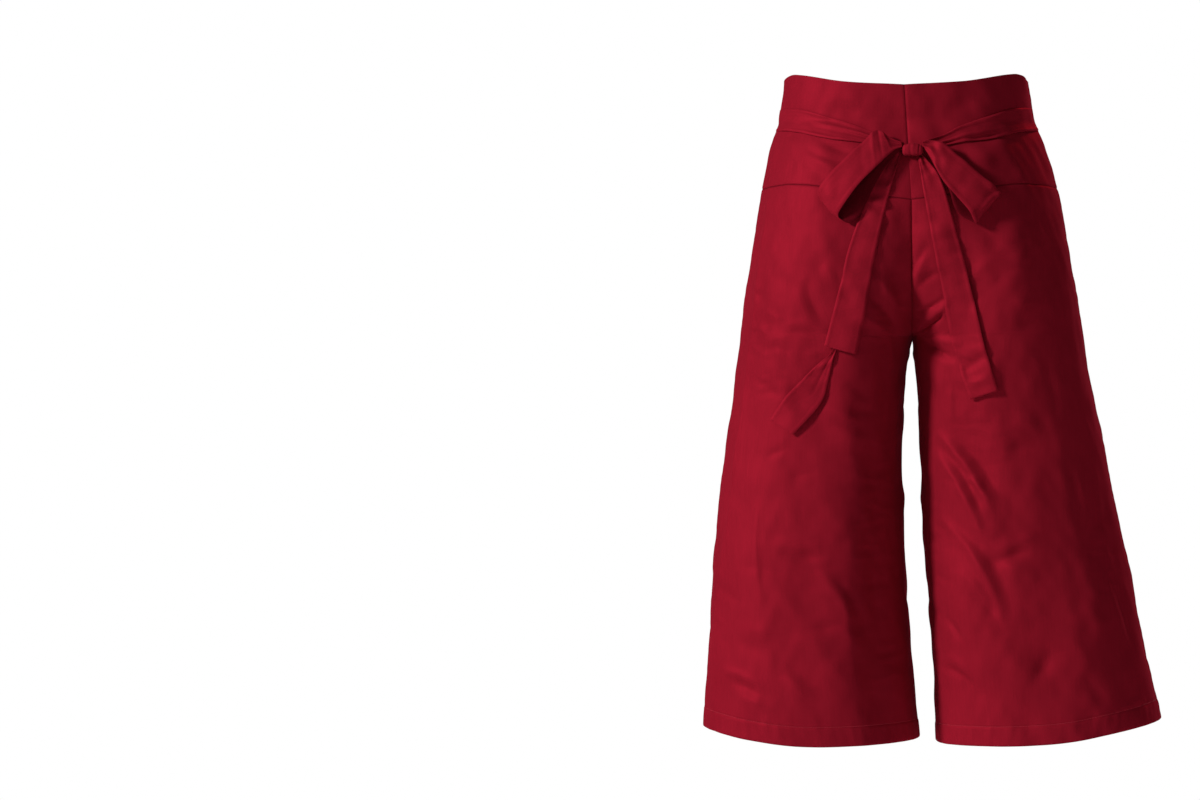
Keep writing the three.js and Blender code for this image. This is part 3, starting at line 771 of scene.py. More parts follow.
def ripple_field(seed, waves, shortest, longest, leaning=(1.3, 1.3, 0.75)):
    """A smooth uneven field in space with a spread of about 1, made of plane waves.

    "leaning" is how much the waves run along X, Y and Z.
    """
    draw = np.random.default_rng(seed)
    direction = unit(draw.normal(size=(waves, 3)) * leaning)
    length = shortest * (longest / shortest) ** draw.random(waves)
    phase = draw.random(waves) * TURN
    amount = length / longest

    def field(point):
        total = np.zeros(point.shape[:-1])
        for k in range(waves):
            total += amount[k] * np.sin(point @ direction[k] * (TURN / length[k]) + phase[k])
        return total / math.sqrt((amount**2).sum() / 2)

    return field


LARGE_RIPPLE = ripple_field(11, 22, 55, 150)
PATCHES = ripple_field(71, 12, 90, 210)
CRUMPLES = ripple_field(53, 26, 15, 52, (0.42, 0.42, 1.3))
SMALL_RIPPLE = ripple_field(29, 30, 16, 46)
SMALL_RIPPLE_SHARE = 0.42
RIPPLE_ON_SIDES = 0.6
CRUMPLES_ON_BACK = 0.45
CRUMPLE_TOP, CRUMPLE_ROUNDING = 0.8, 0.03
PATCH_RANGE = (-0.6, 1.2)  # of the field in which patches of crumples come up
PATCH_DROPS = (60, 130)  # over which the patches come in below the tie
CRUMPLE_FACING = (0.1, 0.7)


def cloth_surface(side, angle, drop, detail=1.0):
    """Outside of the worn cloth, with its directions outward. detail scales creases and ripples."""
    cloth = bpy.context.scene.pants.cloth
    angle, drop = np.broadcast_arrays(np.asarray(angle, float), np.asarray(drop, float))
    point = plain_point(side, angle, drop)
    normal = normal_at(side, angle, drop)
    rise = fold_rise(point, side, angle, drop)
    if detail:
        small = crease_rise(point, side, angle, drop) * cloth.crease_strength
        sine = np.sin(angle)
        ripple = LARGE_RIPPLE(point) + SMALL_RIPPLE_SHARE * SMALL_RIPPLE(point)
        ripple = ripple * cloth.ripple * mix(RIPPLE_ON_SIDES, 1, np.abs(sine))
        sharp = CRUMPLE_TOP - np.sqrt(CRUMPLES(point) ** 2 + CRUMPLE_ROUNDING)
        patchy = smoothstep(PATCHES(point), *PATCH_RANGE) * smoothstep(drop, *PATCH_DROPS)
        facing = smoothstep(np.abs(sine), *CRUMPLE_FACING)
        facing = facing * np.where(sine > 0, CRUMPLES_ON_BACK, 1.0)
        ripple = ripple + sharp * patchy * facing * cloth.crumple
        rise = rise + detail * (small + ripple / MM)
    return point + normal * rise[..., None], normal


# ---------------------------------------------------------------- seam lines


def side_seam_back(side, drop):
    return 0 * drop


def side_seam_front(side, drop):
    return TURN + 0 * drop


def inner_seam_back(side, drop):
    closed = math.pi + np.radians(SEAM_TURN(drop))
    return np.where(drop >= CROTCH_DROP, closed, angle_at(side, drop, 0))


def inner_seam_front(side, drop):
    closed = math.pi + np.radians(SEAM_TURN(drop))
    return np.where(drop >= CROTCH_DROP, closed, TURN - angle_at(side, drop, 0))


def panel_seam(side, drop):
    outer, inner, _, _ = section(side, drop)
    return TURN - angle_at(side, drop, mix(inner, outer, PANEL_SHARE[side](drop)))


MEETING_ROUNDS = 6  # enough for the drop to settle


def meet(side, seams, share, line, near_drop):
    """Drop at which a crosswise line, such as the hem, crosses a share of the way over a piece."""
    drop = np.full_like(share, float(near_drop))
    for _ in range(MEETING_ROUNDS):
        angle = mix(seams[0](side, drop), seams[1](side, drop), share)
        outer, inner, _, _ = section(side, drop)
        distance = side * (plain_point(side, angle, drop)[..., 0] - centre_x(drop))
        drop = line((distance - inner) / (outer - inner))
    return drop


# ---------------------------------------------------------------- meshes

EDGE_STEPS = (0, 0.5, 1.1, 1.9, 3.0)  # distances of the first points from an edge
RIM_FULLNESS = 0.35  # how far the rim stands out, as a share of the wall
SHARP_ANGLE = math.radians(62)


def shares_across(count, length):
    """Shares from 0 to 1 along a length, even in the middle and close together at both ends."""
    edge = np.array(EDGE_STEPS) / length
    middle = np.linspace(edge[-1], 1 - edge[-1], count)[1:-1]
    return np.concatenate([edge, middle, (1 - edge)[::-1]])


def run_lengths(points, axis):
    """Lengths along a grid from its first row or column."""
    steps = np.linalg.norm(np.diff(points, axis=axis), axis=-1)
    first = np.zeros_like(steps.take([0], axis=axis))
    return np.concatenate([first, np.cumsum(steps, axis=axis)], axis=axis)


def grid_mesh(name, outer, inner, uv, seam=None, shade=(1.0, 1.0)):
    """A closed sheet between two grids of points in millimetres, with a rounded rim."""
    rows, columns = outer.shape[:2]
    count = rows * columns
    number = np.arange(count).reshape(rows, columns)
    corners = (number[:-1, :-1], number[1:, :-1], number[1:, 1:], number[:-1, 1:])
    quads = np.stack(corners, axis=-1).reshape(-1, 4)
    ring = np.concatenate([number[0, :-1], number[:-1, -1], number[-1, :0:-1], number[:0:-1, 0]])
    middle = (outer + inner) / 2
    towards = unit(middle - np.roll(middle, 1, axis=0))
    towards[0] = unit(middle[0] - middle[1])
    sideways = unit(middle - np.roll(middle, 1, axis=1))
    sideways[:, 0] = unit(middle[:, 0] - middle[:, 1])
    push = np.zeros_like(outer)
    push[0] += towards[0]
    push[-1] += towards[-1]
    push[:, 0] += sideways[:, 0]
    push[:, -1] += sideways[:, -1]
    wall = np.linalg.norm(outer - inner, axis=-1, keepdims=True)
    rim = (middle + unit(push) * wall * RIM_FULLNESS).reshape(-1, 3)[ring]
    base = 2 * count
    here, after = np.arange(len(ring)), np.roll(np.arange(len(ring)), -1)
    outside = np.stack([ring[after], ring[here], base + here, base + after], axis=-1)
    inside = np.stack([base + after, base + here, count + ring[here], count + ring[after]], axis=-1)
    faces = np.concatenate([quads, quads[:, ::-1] + count, outside[:, ::-1], inside[:, ::-1]])
    points = np.concatenate([outer.reshape(-1, 3), inner.reshape(-1, 3), rim]) * MM
    mesh = bpy.data.meshes.new(name)
    mesh.vertices.add(len(points))
    mesh.vertices.foreach_set("co", points.ravel())
    mesh.loops.add(faces.size)
    mesh.loops.foreach_set("vertex_index", faces.ravel())
    mesh.polygons.add(len(faces))
    mesh.polygons.foreach_set("loop_start", np.arange(len(faces)) * 4)
    mesh.update(calc_edges=True)
    mesh.validate()
    flat_uv = uv.reshape(-1, 2) * MM
    all_uv = np.concatenate([flat_uv, flat_uv, flat_uv[ring]])
    layer = mesh.uv_layers.new(name="cloth")
    loops = np.empty(len(mesh.loops), dtype=np.int32)
    mesh.loops.foreach_get("vertex_index", loops)
    layer.data.foreach_set("uv", all_uv[loops].ravel())
    from_seam = np.full(count, 1.0) if seam is None else seam.ravel() * MM
    # shade is a painted shade for the outer and the inner grid, 1 where nothing is painted.
    shades = [np.full(count, value) for value in shade]
    add_values(mesh, "seam", np.concatenate([from_seam, from_seam, from_seam[ring]]))
    add_values(mesh, "shade", np.concatenate([*shades, np.ones(len(ring))]))
    mesh.shade_smooth()
    mesh.set_sharp_from_angle(angle=SHARP_ANGLE)
    turn_outward(mesh)
    return mesh


def add_values(mesh, label, values):
    attribute = mesh.attributes.new(label, "FLOAT", "POINT")
    attribute.data.foreach_set("value", values.astype(np.float32))


def add_object(name, mesh, material):
    mesh.materials.append(material)
    piece = bpy.data.objects.new(name, mesh)
    bpy.context.scene.collection.objects.link(piece)
    return piece


def seat_piece(piece, nodes):
    """Puts a piece on the body in place of its nodes, which are hidden."""
    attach(piece, BODY_NAME)
    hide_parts(*nodes)


def turn_outward(mesh):
    """Turns the faces of a closed mesh out if its signed volume is below 0."""
    points = np.empty(len(mesh.vertices) * 3)
    mesh.vertices.foreach_get("co", points)
    points = points.reshape(-1, 3)
    mesh.calc_loop_triangles()
    corners = np.empty(len(mesh.loop_triangles) * 3, dtype=np.int32)
    mesh.loop_triangles.foreach_get("vertices", corners)
    a, b, c = (points[corners.reshape(-1, 3)[:, i]] for i in range(3))
    if np.einsum("ij,ij->i", a, np.cross(b, c)).sum() < 0:
        mesh.flip_normals()


# ---------------------------------------------------------------- cut pieces of the body

YOKE_ROWS = (44, 140)  # count, and the length they are shared over
YOKE_COLUMNS = (64, 175)
SEAM_WIDTH = 1.5
SEAM_TRIM = 0.05
CENTRE_OVERLAP = 0.04
CROTCH_FADE = 16
NEAR_SEAM = 9  # reach of what a seam does to the cloth beside it
# Length of the waves along a seam or the hem, and how far apart they drift.
LEFT_GATHERS, RIGHT_GATHERS, HEM_GATHERS = (13, 47), (12, 53), (13, 31, 2.1)
PUCKER_HEIGHT = 0.12
PUCKER_START = (0.5, 4)
HEM_VALLEY, HEM_VALLEY_WIDTH = 0.35, 1.3
HEM_FOLD_TOP, HEM_FOLD_FOOT = 2.5, 1.5  # over which the turned hem's fold comes up and ends
HEM_TURN_START, HEM_TURN_REACH = 1.2, 1.4
HEM_PULL, HEM_PULL_PLACE, HEM_PULL_REACH = 0.3, 0.7, 11
PRESSED_CLEARANCE = 2.2
PRESSED_FADE = 6


def close_centre(points, side, drops):
    """Brings the edge of a piece at the centre seam back to its neighbour, above the crotch."""
    open_by = side * (points[:, :1, 0] - centre_x(drops[:, :1])) + CENTRE_OVERLAP
    near = bell(run_lengths(points, 1), NEAR_SEAM)
    above = 1 - smoothstep(drops, CROTCH_DROP - 1, CROTCH_DROP + CROTCH_FADE)
    closed = points.copy()
    closed[..., 0] -= side * open_by * near * above
    return closed


def trim_edges(points, sewn):
    """Holds the sewn and the long edges of a piece a hair away from its neighbours."""
    trimmed = points.copy()
    trimmed[:, 0] += unit(points[:, 1] - points[:, 0]) * SEAM_TRIM
    trimmed[:, -1] += unit(points[:, -2] - points[:, -1]) * SEAM_TRIM
    if "top" in sewn:
        trimmed[0] += unit(points[1] - points[0]) * SEAM_TRIM
    if "bottom" in sewn:
        trimmed[-1] += unit(points[-2] - points[-1]) * SEAM_TRIM
    return trimmed


def gathers(run, wave, drift, sway=2):
    """Uneven waves along a seam, for the pull of its thread."""
    return np.sin(run * TURN / wave + sway * np.sin(run / drift))


def hem_sink(sink, hem, across, depth):
    """Adds the valley of the hem's stitches, the full fold below it and the pull of the thread."""
    sink = sink + HEM_VALLEY * bell(hem - depth, HEM_VALLEY_WIDTH)
    below = smoothstep(depth - hem, 0, HEM_FOLD_TOP)
    sink = sink - HEM_VALLEY * below * smoothstep(hem, 0, HEM_FOLD_FOOT)
    pull = bell(hem - depth * HEM_PULL_PLACE, HEM_PULL_REACH)
    return sink + HEM_PULL * (gathers(across, *HEM_GATHERS) * pull)


def body_piece(name, side, seams, columns, rows_at, sewn, centred, hemmed=False, pressed=None):
    """One cut piece: columns run between two seams, and rows_at(share) gives the drops of all rows.

    "sewn" names its edges with a seam. "centred" is for a piece at the centre seam, "hemmed" for
    one with a turned hem, and "pressed" is the drop below which the left seam hardly shows.
    """
    cloth = bpy.context.scene.pants.cloth
    drops = rows_at(columns)
    angles = mix(seams[0](side, drops), seams[1](side, drops), columns)
    outer, normal = cloth_surface(side, angles, drops)
    down, across = run_lengths(outer, 0), run_lengths(outer, 1)
    edges = {
        "top": down,
        "bottom": down[-1] - down,
        "left": across,
        "right": across[:, -1:] - across,
    }
    if pressed is not None:
        clearance = PRESSED_CLEARANCE * smoothstep(drops, pressed, pressed + PRESSED_FADE)
        edges["left"] = edges["left"] + clearance
    seam = np.min([edges[edge] for edge in sewn], axis=0)
    wall = np.full(drops.shape, cloth.wall / MM)
    sink = cloth.groove / MM * bell(seam, SEAM_WIDTH)
    if hemmed:
        depth, hem = cloth.hem_depth / MM, edges["bottom"]
        turned = smoothstep(depth + HEM_TURN_START - hem, 0, HEM_TURN_REACH)
        wall = wall + (cloth.hem_wall - cloth.wall) / MM * turned
        sink = hem_sink(sink, hem, across, depth)
    pucker = gathers(down, *LEFT_GATHERS) * bell(edges["left"], NEAR_SEAM)
    pucker = pucker + gathers(down, *RIGHT_GATHERS) * bell(edges["right"], NEAR_SEAM)
    sink = sink + PUCKER_HEIGHT * pucker * smoothstep(seam, *PUCKER_START)
    outer = outer - normal * sink[..., None]
    if centred:
        outer = close_centre(outer, side, drops)
    outer = trim_edges(outer, sewn)
    inner = outer - normal * wall[..., None]
    uv = np.stack([across - across[:, -1:] / 2, drops], axis=-1)
    return grid_mesh(name, outer, inner, uv, seam=seam)


def yoke_mesh(name, side, face, seams):
    def rows_at(columns):
        waist = meet(side, seams, columns, WAIST_LINE[face], WAIST_DROP)
        foot = meet(side, seams, columns, YOKE_LINE[face], YOKE_DROP)
        return mix(waist, foot, shares_across(*YOKE_ROWS)[:, None])

    columns = shares_across(*YOKE_COLUMNS)
    sewn = ("bottom", "left", "right")
    pressed = KNOT["drop"] if face == "back" else None
    return body_piece(name, side, seams, columns, rows_at, sewn, True, pressed=pressed)


ROWS_ABOVE, ROWS_BELOW = 58, 150  # of a leg panel, above and below the crotch
YOKE_TO_CROTCH = 150
SECOND_ROW = 0.02  # share of the way to the crotch at which the even rows start
CENTRE_BLEND = 0.7  # power by which the curved rows turn even, away from the centre seam
HEM_MARGIN = 4
# Rows across the stitches and the fold of the hem, by their distance above the stitches, and the
# last rows by their distance above the edge.
HEM_ROWS = (3, 2, 1.2, 0.6, 0, -0.6, -1.2, -2.2, -4, -7, -11, -15, -18)
EDGE_ROWS = (1.6, 0.8, 0.3, 0)


def rows_to_crotch(face, columns, reaches_centre):
    """Shares of the way from the yoke to the crotch, along its curve at the centre seam."""
    height = CROTCH_DROP - WAIST_DROP
    yoke = YOKE_LINE[face](0.0)
    start = math.asin(((yoke - WAIST_DROP) / height) ** (CROTCH_CURVE / 2))
    first = np.array(EDGE_STEPS) / YOKE_TO_CROTCH
    even = np.concatenate([first, np.linspace(SECOND_ROW, 1, ROWS_ABOVE)[1:]])
    curve = np.sin(mix(start, math.pi / 2, even)) ** (2 / CROTCH_CURVE)
    curved = (WAIST_DROP + height * curve - yoke) / (CROTCH_DROP - yoke)
    if reaches_centre:
        return mix(curved[:, None], even[:, None], columns**CENTRE_BLEND)
    return np.repeat(even[:, None], len(columns), axis=1)


def leg_mesh(name, side, face, seams, count, length, reaches_centre):
    """Rows follow the crotch curve where the piece reaches the centre seam, and else are even."""
    hem_depth = bpy.context.scene.pants.cloth.hem_depth / MM

    def rows_at(columns):
        yoke = meet(side, seams, columns, YOKE_LINE[face], YOKE_DROP)
        hem = meet(side, seams, columns, HEM_LINE[side], FULL_DROP - hem_depth)
        above = mix(yoke, CROTCH_DROP, rows_to_crotch(face, columns, reaches_centre))
        fold = hem - hem_depth - HEM_MARGIN
        below = mix(CROTCH_DROP, fold, np.linspace(0, 1, ROWS_BELOW)[1:, None])
        band = (hem - hem_depth) - np.array(HEM_ROWS)[:, None]
        last = hem - np.array(EDGE_ROWS)[:, None]
        return np.concatenate([above, below, band, last])

    columns = shares_across(count, length)
    sewn = ("top", "left", "right")
    return body_piece(name, side, seams, columns, rows_at, sewn, reaches_centre, hemmed=True)


# ---------------------------------------------------------------- ties


def on_back(x, drop, out, detail=1.0):
    """A place on the back of the body by its distance across, moved out from the cloth."""
    x, drop = np.broadcast_arrays(np.asarray(x, float), np.asarray(drop, float))
    result = np.zeros(x.shape + (3,))
    for side in (LEFT, RIGHT):
        angle = angle_at(side, drop, np.abs(x - centre_x(drop)))
        point, normal = cloth_surface(side, angle, drop, detail)
        here = (x < centre_x(drop)) == (side == LEFT)
        result[here] = (point + normal * (np.asarray(out + 0 * x) + TIE_LIFT)[..., None])[here]
    return result


def numbered(rows):
    """Smooth curves through all the columns of a table, run from 0 to 1 by the row's number."""
    steps = {**rows, "along": np.linspace(0, 1, len(next(iter(rows.values()))))}
    return {name: smooth(steps, "along", name) for name in rows}


TIE_ROUNDING = 14  # power of the tie's cross section: flat, with round edges
EDGE_FOLD, EDGE_FOLD_WIDTH = 0.84, 0.09  # place and width of the pressed fold, over half the tie
END_FOLD, END_FOLD_WIDTH = 0.8, 0.012
RIM_WALL = 0.05
CLOSE_TO_EDGES = 0.55  # how much the columns draw together at the edges


def tie_mesh(name, at, rise, rows, columns=26, round_end=True, inside_shade=1.0):
    """A doubled tie round its middle surface at(along, across), with a full fold at each edge."""
    tie = bpy.context.scene.pants.tie
    even = np.linspace(0, 1, columns)
    across = mix(even, (1 - np.cos(even * math.pi)) / 2, CLOSE_TO_EDGES)
    along, across = np.broadcast_arrays(np.linspace(0, 1, rows)[:, None], across[None, :])
    middle = at(along, across)
    run = np.gradient(middle, axis=0)
    over = np.gradient(middle, axis=1)
    normal = unit(np.cross(over, run))
    middle = middle + normal * rise(along, across)[..., None]
    centre = np.abs(2 * across - 1)
    half = tie.wall / MM / 2 * (1 - centre**TIE_ROUNDING) ** 0.5
    half = half + tie.edge / MM * bell(centre - EDGE_FOLD, EDGE_FOLD_WIDTH) + RIM_WALL
    if round_end:
        half = half + tie.edge / MM * END_FOLD * bell(1 - along, END_FOLD_WIDTH)
    uv = np.stack([run_lengths(middle, 1), run_lengths(middle, 0)], axis=-1)
    outer = middle + normal * half[..., None]
    inner = middle - normal * half[..., None]
    # Painted shadow: the side of the tie that faces into a loop gets inside_shade.
    facing = normal[: rows // 3, :, 1].mean()
    shade = (1.0, inside_shade) if facing < 0 else (inside_shade, 1.0)
    return grid_mesh(name, outer, inner, uv, shade=shade)


WRINKLE_WAVES = 18
WRINKLE_WIDTH, WRINKLE_LENGTH = 28, 180


def wrinkles(seed, shortest, longest, amount, stretch):
    """Uneven height over a tie's own width and length, which stretch gives as shares."""
    field = ripple_field(seed, WRINKLE_WAVES, shortest, longest)

    def rise(along, across):
        x, y = across * WRINKLE_WIDTH * stretch[0], along * WRINKLE_LENGTH * stretch[1]
        return field(np.stack([x, y, 0 * along + seed], axis=-1)) * amount

    return rise


def band_mesh(name, side):
    """The tie from its side seam, where it is flush with the cloth, to its gathers at the knot."""
    drop_at, width_at = smooth(BAND, "reach", "drop"), smooth(BAND, "reach", "width")
    knot_edge = KNOT["left"] if side == LEFT else KNOT["right"]
    out = TIE_CLEARANCE + TIE_CLOTH / 2
    uneven = wrinkles(41 + side, 8, 40, 0.16, (1, 0.45))

    def at(along, across):
        drop = drop_at(along) + (across - 0.5) * width_at(along)
        at_seam = 0.02
        top_sink, seam_sink = 2.1, 1.5
        at_knot = angle_at(side, drop, np.abs(knot_edge - centre_x(drop)) + SEAM_GAP)
        point, normal = cloth_surface(side, mix(at_seam, at_knot, along), drop)
        sunk = top_sink * (1 - across) ** 2 * (1 - smoothstep(along, 0.12, 0.5))
        flush = seam_sink * (1 - smoothstep(along, 0, 0.3))
        return point + normal * (out - np.maximum(sunk, flush))[..., None]

    def rise(along, across):
        gather = smoothstep(along, 0.35, 0.95)
        folds = np.sin(across * TURN * 2.1 + 0.8 + 2.2 * along) * 0.85
        fine = np.sin(across * TURN * 3.6 + 2.5 * along * side) * 0.35
        return gather * (folds + fine) + uneven(along, across)

    return tie_mesh(name, at, rise, rows=150, columns=30, round_end=False)


def between_edges(rows, detail=1.0):
    """Middle surface of a stretch of tie that is laid between its two edges."""
    line = numbered(rows)

    def at(along, across):
        place = {
            key: mix(line[key + "1"](along), line[key + "2"](along), across)
            for key in ("x", "drop", "out")
        }
        return on_back(**place, detail=detail)

    return at


def tail_end_mesh(name, table_rows, seed):
    """The tip of a tail, which is turned over at its top and has a soft fold along it."""
    uneven = wrinkles(seed, 9, 30, bpy.context.scene.pants.tie.wrinkle / MM * 0.8, (0.8, 0.7))

    def rise(along, across):
        fold = bell(across - 0.72 + 0.2 * along, 0.06, 1.6) * smoothstep(along, 0.1, 0.3)
        return 0.8 * fold * (1 - smoothstep(along, 0.55, 0.8)) + uneven(along, across)

    return tie_mesh(name, between_edges(table_rows), rise, rows=120)


def tail_mesh(name, table_rows, seed):
    """A hanging end of tie along its middle line, gathered where it leaves the knot."""
    line = numbered(table_rows)

    def at(along, across):
        step = 0.01
        after, before = np.minimum(along + step, 1), np.maximum(along - step, 0)
        run = line["x"](after) - line["x"](before)
        fall = line["drop"](after) - line["drop"](before)
        offset = (across - 0.5) * line["width"](along) / np.hypot(run, fall)
        x = line["x"](along) + fall * offset
        return on_back(x, line["drop"](along) - run * offset, line["out"](along))

    uneven = wrinkles(seed, 8, 30, bpy.context.scene.pants.tie.wrinkle / MM * 1.2, (0.4, 1.0))

    def rise(along, across):
        near_knot = 1 - smoothstep(along, 0.02, 0.3)
        folds = np.sin(across * TURN * 1.6 + 1.1) * 0.7 * near_knot
        return folds + uneven(along, across)

    return tie_mesh(name, at, rise, rows=170)


def loop_mesh(name, table_rows, seed, pleats):
    """A loop of tie. A pleat is a place along, its half width, its lean and its rise."""
    uneven = wrinkles(seed, 9, 34, bpy.context.scene.pants.tie.wrinkle / MM, (0.9, 0.8))

    def rise(along, across):
        near_knot = 1 - smoothstep(np.minimum(along, 1 - along), 0.03, 0.24)
        folds = np.sin(across * TURN * 1.7 + 0.6) * 0.75 * near_knot
        for place, half, lean, height in pleats:
            pleat = height * bell(along - place - lean * across, half, 1.5)
            folds = folds + pleat * (1 - across) ** 0.7
        return folds + uneven(along, across)

    at = between_edges(table_rows, detail=0.6)
    # The inside of each loop is painted at 0.4 of its colour, a painted shadow under the loop's
    # front ply.
    return tie_mesh(name, at, rise, rows=210, round_end=False, inside_shade=0.4)


BOXINESS = 0.72  # power that squares the knot's rounds: 1 is an ellipse
KNOT_TAPER = 0.16
KNOT_END_POWER, KNOT_END_TAPER = 9, 0.45
KNOT_SAG = 0.9


def knot_mesh(name):
    """A wrap of cloth across the ties, with folds that run round it."""
    length_steps, ring_steps = 56, 72
    half = (KNOT["right"] - KNOT["left"]) / 2
    middle_x = (KNOT["right"] + KNOT["left"]) / 2
    across = (KNOT["left"], middle_x, KNOT["right"])
    seat = min(on_back(x, KNOT["drop"], 0.0)[1] for x in across)
    centre = np.array([middle_x, seat - TIE_CLEARANCE - KNOT["thickness"] / 2, -KNOT["drop"]])
    along = np.linspace(-1, 1, length_steps)[:, None]
    angle = np.arange(ring_steps)[None, :] / ring_steps * TURN
    fullness = (1 - KNOT_TAPER * along**2) * (1 - np.abs(along) ** KNOT_END_POWER * KNOT_END_TAPER)
    folds = 0.03 * np.sin(along * 6 + 0.9 * np.sin(angle) + 0.4)
    folds = folds + 0.02 * np.sin(along * 13 - 1.2 * np.cos(angle))
    tuck = -0.1 * bell(along - 0.62 - 0.08 * np.sin(angle), 0.07)
    size = fullness * (1 + folds + tuck)
    x = centre[0] + half * along + 0 * angle
    y = centre[1] + signed_power(np.cos(angle), BOXINESS) * size * KNOT["thickness"] / 2
    z = centre[2] + signed_power(np.sin(angle), BOXINESS) * size * KNOT["half_height"]
    z = z - KNOT_SAG * along**2
    rings = np.stack([x, y, z], axis=-1).reshape(-1, 3)
    tip_reach = np.array([half + 0.2, 0, 0])
    points = np.concatenate([rings, [centre - tip_reach, centre + tip_reach]]) * MM
    faces = []
    for i in range(length_steps - 1):
        for k in range(ring_steps):
            a, b = i * ring_steps + k, i * ring_steps + (k + 1) % ring_steps
            faces.append((a, b, b + ring_steps, a + ring_steps))
    last = (length_steps - 1) * ring_steps
    tip = length_steps * ring_steps
    for k in range(ring_steps):
        after = (k + 1) % ring_steps
        faces.append((tip, after, k))
        faces.append((tip + 1, last + k, last + after))
    mesh = bpy.data.meshes.new(name)
    mesh.from_pydata(points.tolist(), [], faces)
    mesh.update()
    layer = mesh.uv_layers.new(name="cloth")
    for loop in mesh.loops:
        x, y, z = mesh.vertices[loop.vertex_index].co
        layer.data[loop.index].uv = (x, z + y)
    for label in ("seam", "shade"):
        add_values(mesh, label, np.ones(len(mesh.vertices)))
    turn_outward(mesh)
    mesh.shade_smooth()
    return mesh


# ---------------------------------------------------------------- materials


THREAD_PITCH = 0.00042
RED_GLOSS = (1.0, 0.12, 0.2, 1.0)
WHITE = (1.0, 1.0, 1.0, 1.0)


def node_maker(tree):
    """Adds nodes to a tree. Inputs go by a socket's name or number, and are values or links."""

    def make(kind, inputs=(), **settings):
        node = tree.nodes.new(kind)
        for name, value in settings.items():
            setattr(node, name, value)
        for socket, value in dict(inputs).items():
            if isinstance(value, bpy.types.NodeSocket):
                tree.links.new(value, node.inputs[socket])
            else:
                node.inputs[socket].default_value = value
        return node

    return make


def reckon(make, operation, *values):
    """Result of a Math node."""
    return make("ShaderNodeMath", enumerate(values), operation=operation).outputs[0]


def remap(make, value, span, onto, **settings):
    """A value's range brought onto another one."""
    return make("ShaderNodeMapRange", enumerate((value, *span, *onto)), **settings).outputs[0]


def noise(make, vector, scale, detail, roughness):
    inputs = {"Vector": vector, "Scale": scale, "Detail": detail, "Roughness": roughness}
    return make("ShaderNodeTexNoise", inputs).outputs["Fac"]


def group(name, inputs, outputs):
    """An empty shader node group: its tree, its given values and a function to set its results."""
    tree = bpy.data.node_groups.new(name, "ShaderNodeTree")
    for label, kind, default in inputs:
        socket = tree.interface.new_socket(label, in_out="INPUT", socket_type="NodeSocket" + kind)
        if default is not None:
            socket.default_value = default
    for label, kind in outputs:
        tree.interface.new_socket(label, in_out="OUTPUT", socket_type="NodeSocket" + kind)
    given = tree.nodes.new("NodeGroupInput").outputs
    results = tree.nodes.new("NodeGroupOutput").inputs

    def give(label, socket):
        tree.links.new(socket, results[label])

    return tree, given, give


def satin_weave_group():
    """Height of the threads and faint streaks of a woven satin, from the cloth's own UV map."""
    inputs = (
        ("UV", "Vector", None),
        ("Thread Pitch", "Float", THREAD_PITCH),
        ("Slub", "Float", 0.25),
    )
    outputs = (("Height", "Float"), ("Streaks", "Float"))
    tree, given, give = group("Satin Weave", inputs, outputs)
    make = node_maker(tree)
    split = make("ShaderNodeSeparateXYZ", {0: given["UV"]})
    threads = []
    for axis, factor in (("X", 1.0), ("Y", 0.62)):
        step = reckon(make, "DIVIDE", split.outputs[axis], given["Thread Pitch"])
        turn = reckon(make, "MULTIPLY", step, math.pi * factor)
        threads.append(reckon(make, "ABSOLUTE", reckon(make, "SINE", turn)))
    stretched = make("ShaderNodeMapping", {0: given["UV"], "Scale": (900.0, 26.0, 1.0)})
    streak = noise(make, stretched.outputs[0], 1.0, 3.0, 0.6)
    slub = reckon(make, "MULTIPLY", streak, given["Slub"])
    give("Height", reckon(make, "ADD", reckon(make, "MULTIPLY", *threads), slub))
    give("Streaks", streak)
    return tree


def crumple_group():
    """Height of the small crumples that the meshes don't carry, denser beside seams."""
    inputs = (("Vector", "Vector", None), ("Seam", "Float", 1.0), ("Scale", "Float", 40.0))
    tree, given, give = group("Crumples", inputs, (("Height", "Float"),))
    make = node_maker(tree)
    soft = noise(make, given["Vector"], given["Scale"], 2.0, 0.45)
    fine_scale = reckon(make, "MULTIPLY", given["Scale"], 4.4)
    fine = noise(make, given["Vector"], fine_scale, 2.0, 0.5)
    near = remap(make, given["Seam"], (0.0, 0.014), (0.55, 0.0), interpolation_type="SMOOTHSTEP")
    give("Height", reckon(make, "ADD", soft, reckon(make, "MULTIPLY", fine, near)))
    return tree


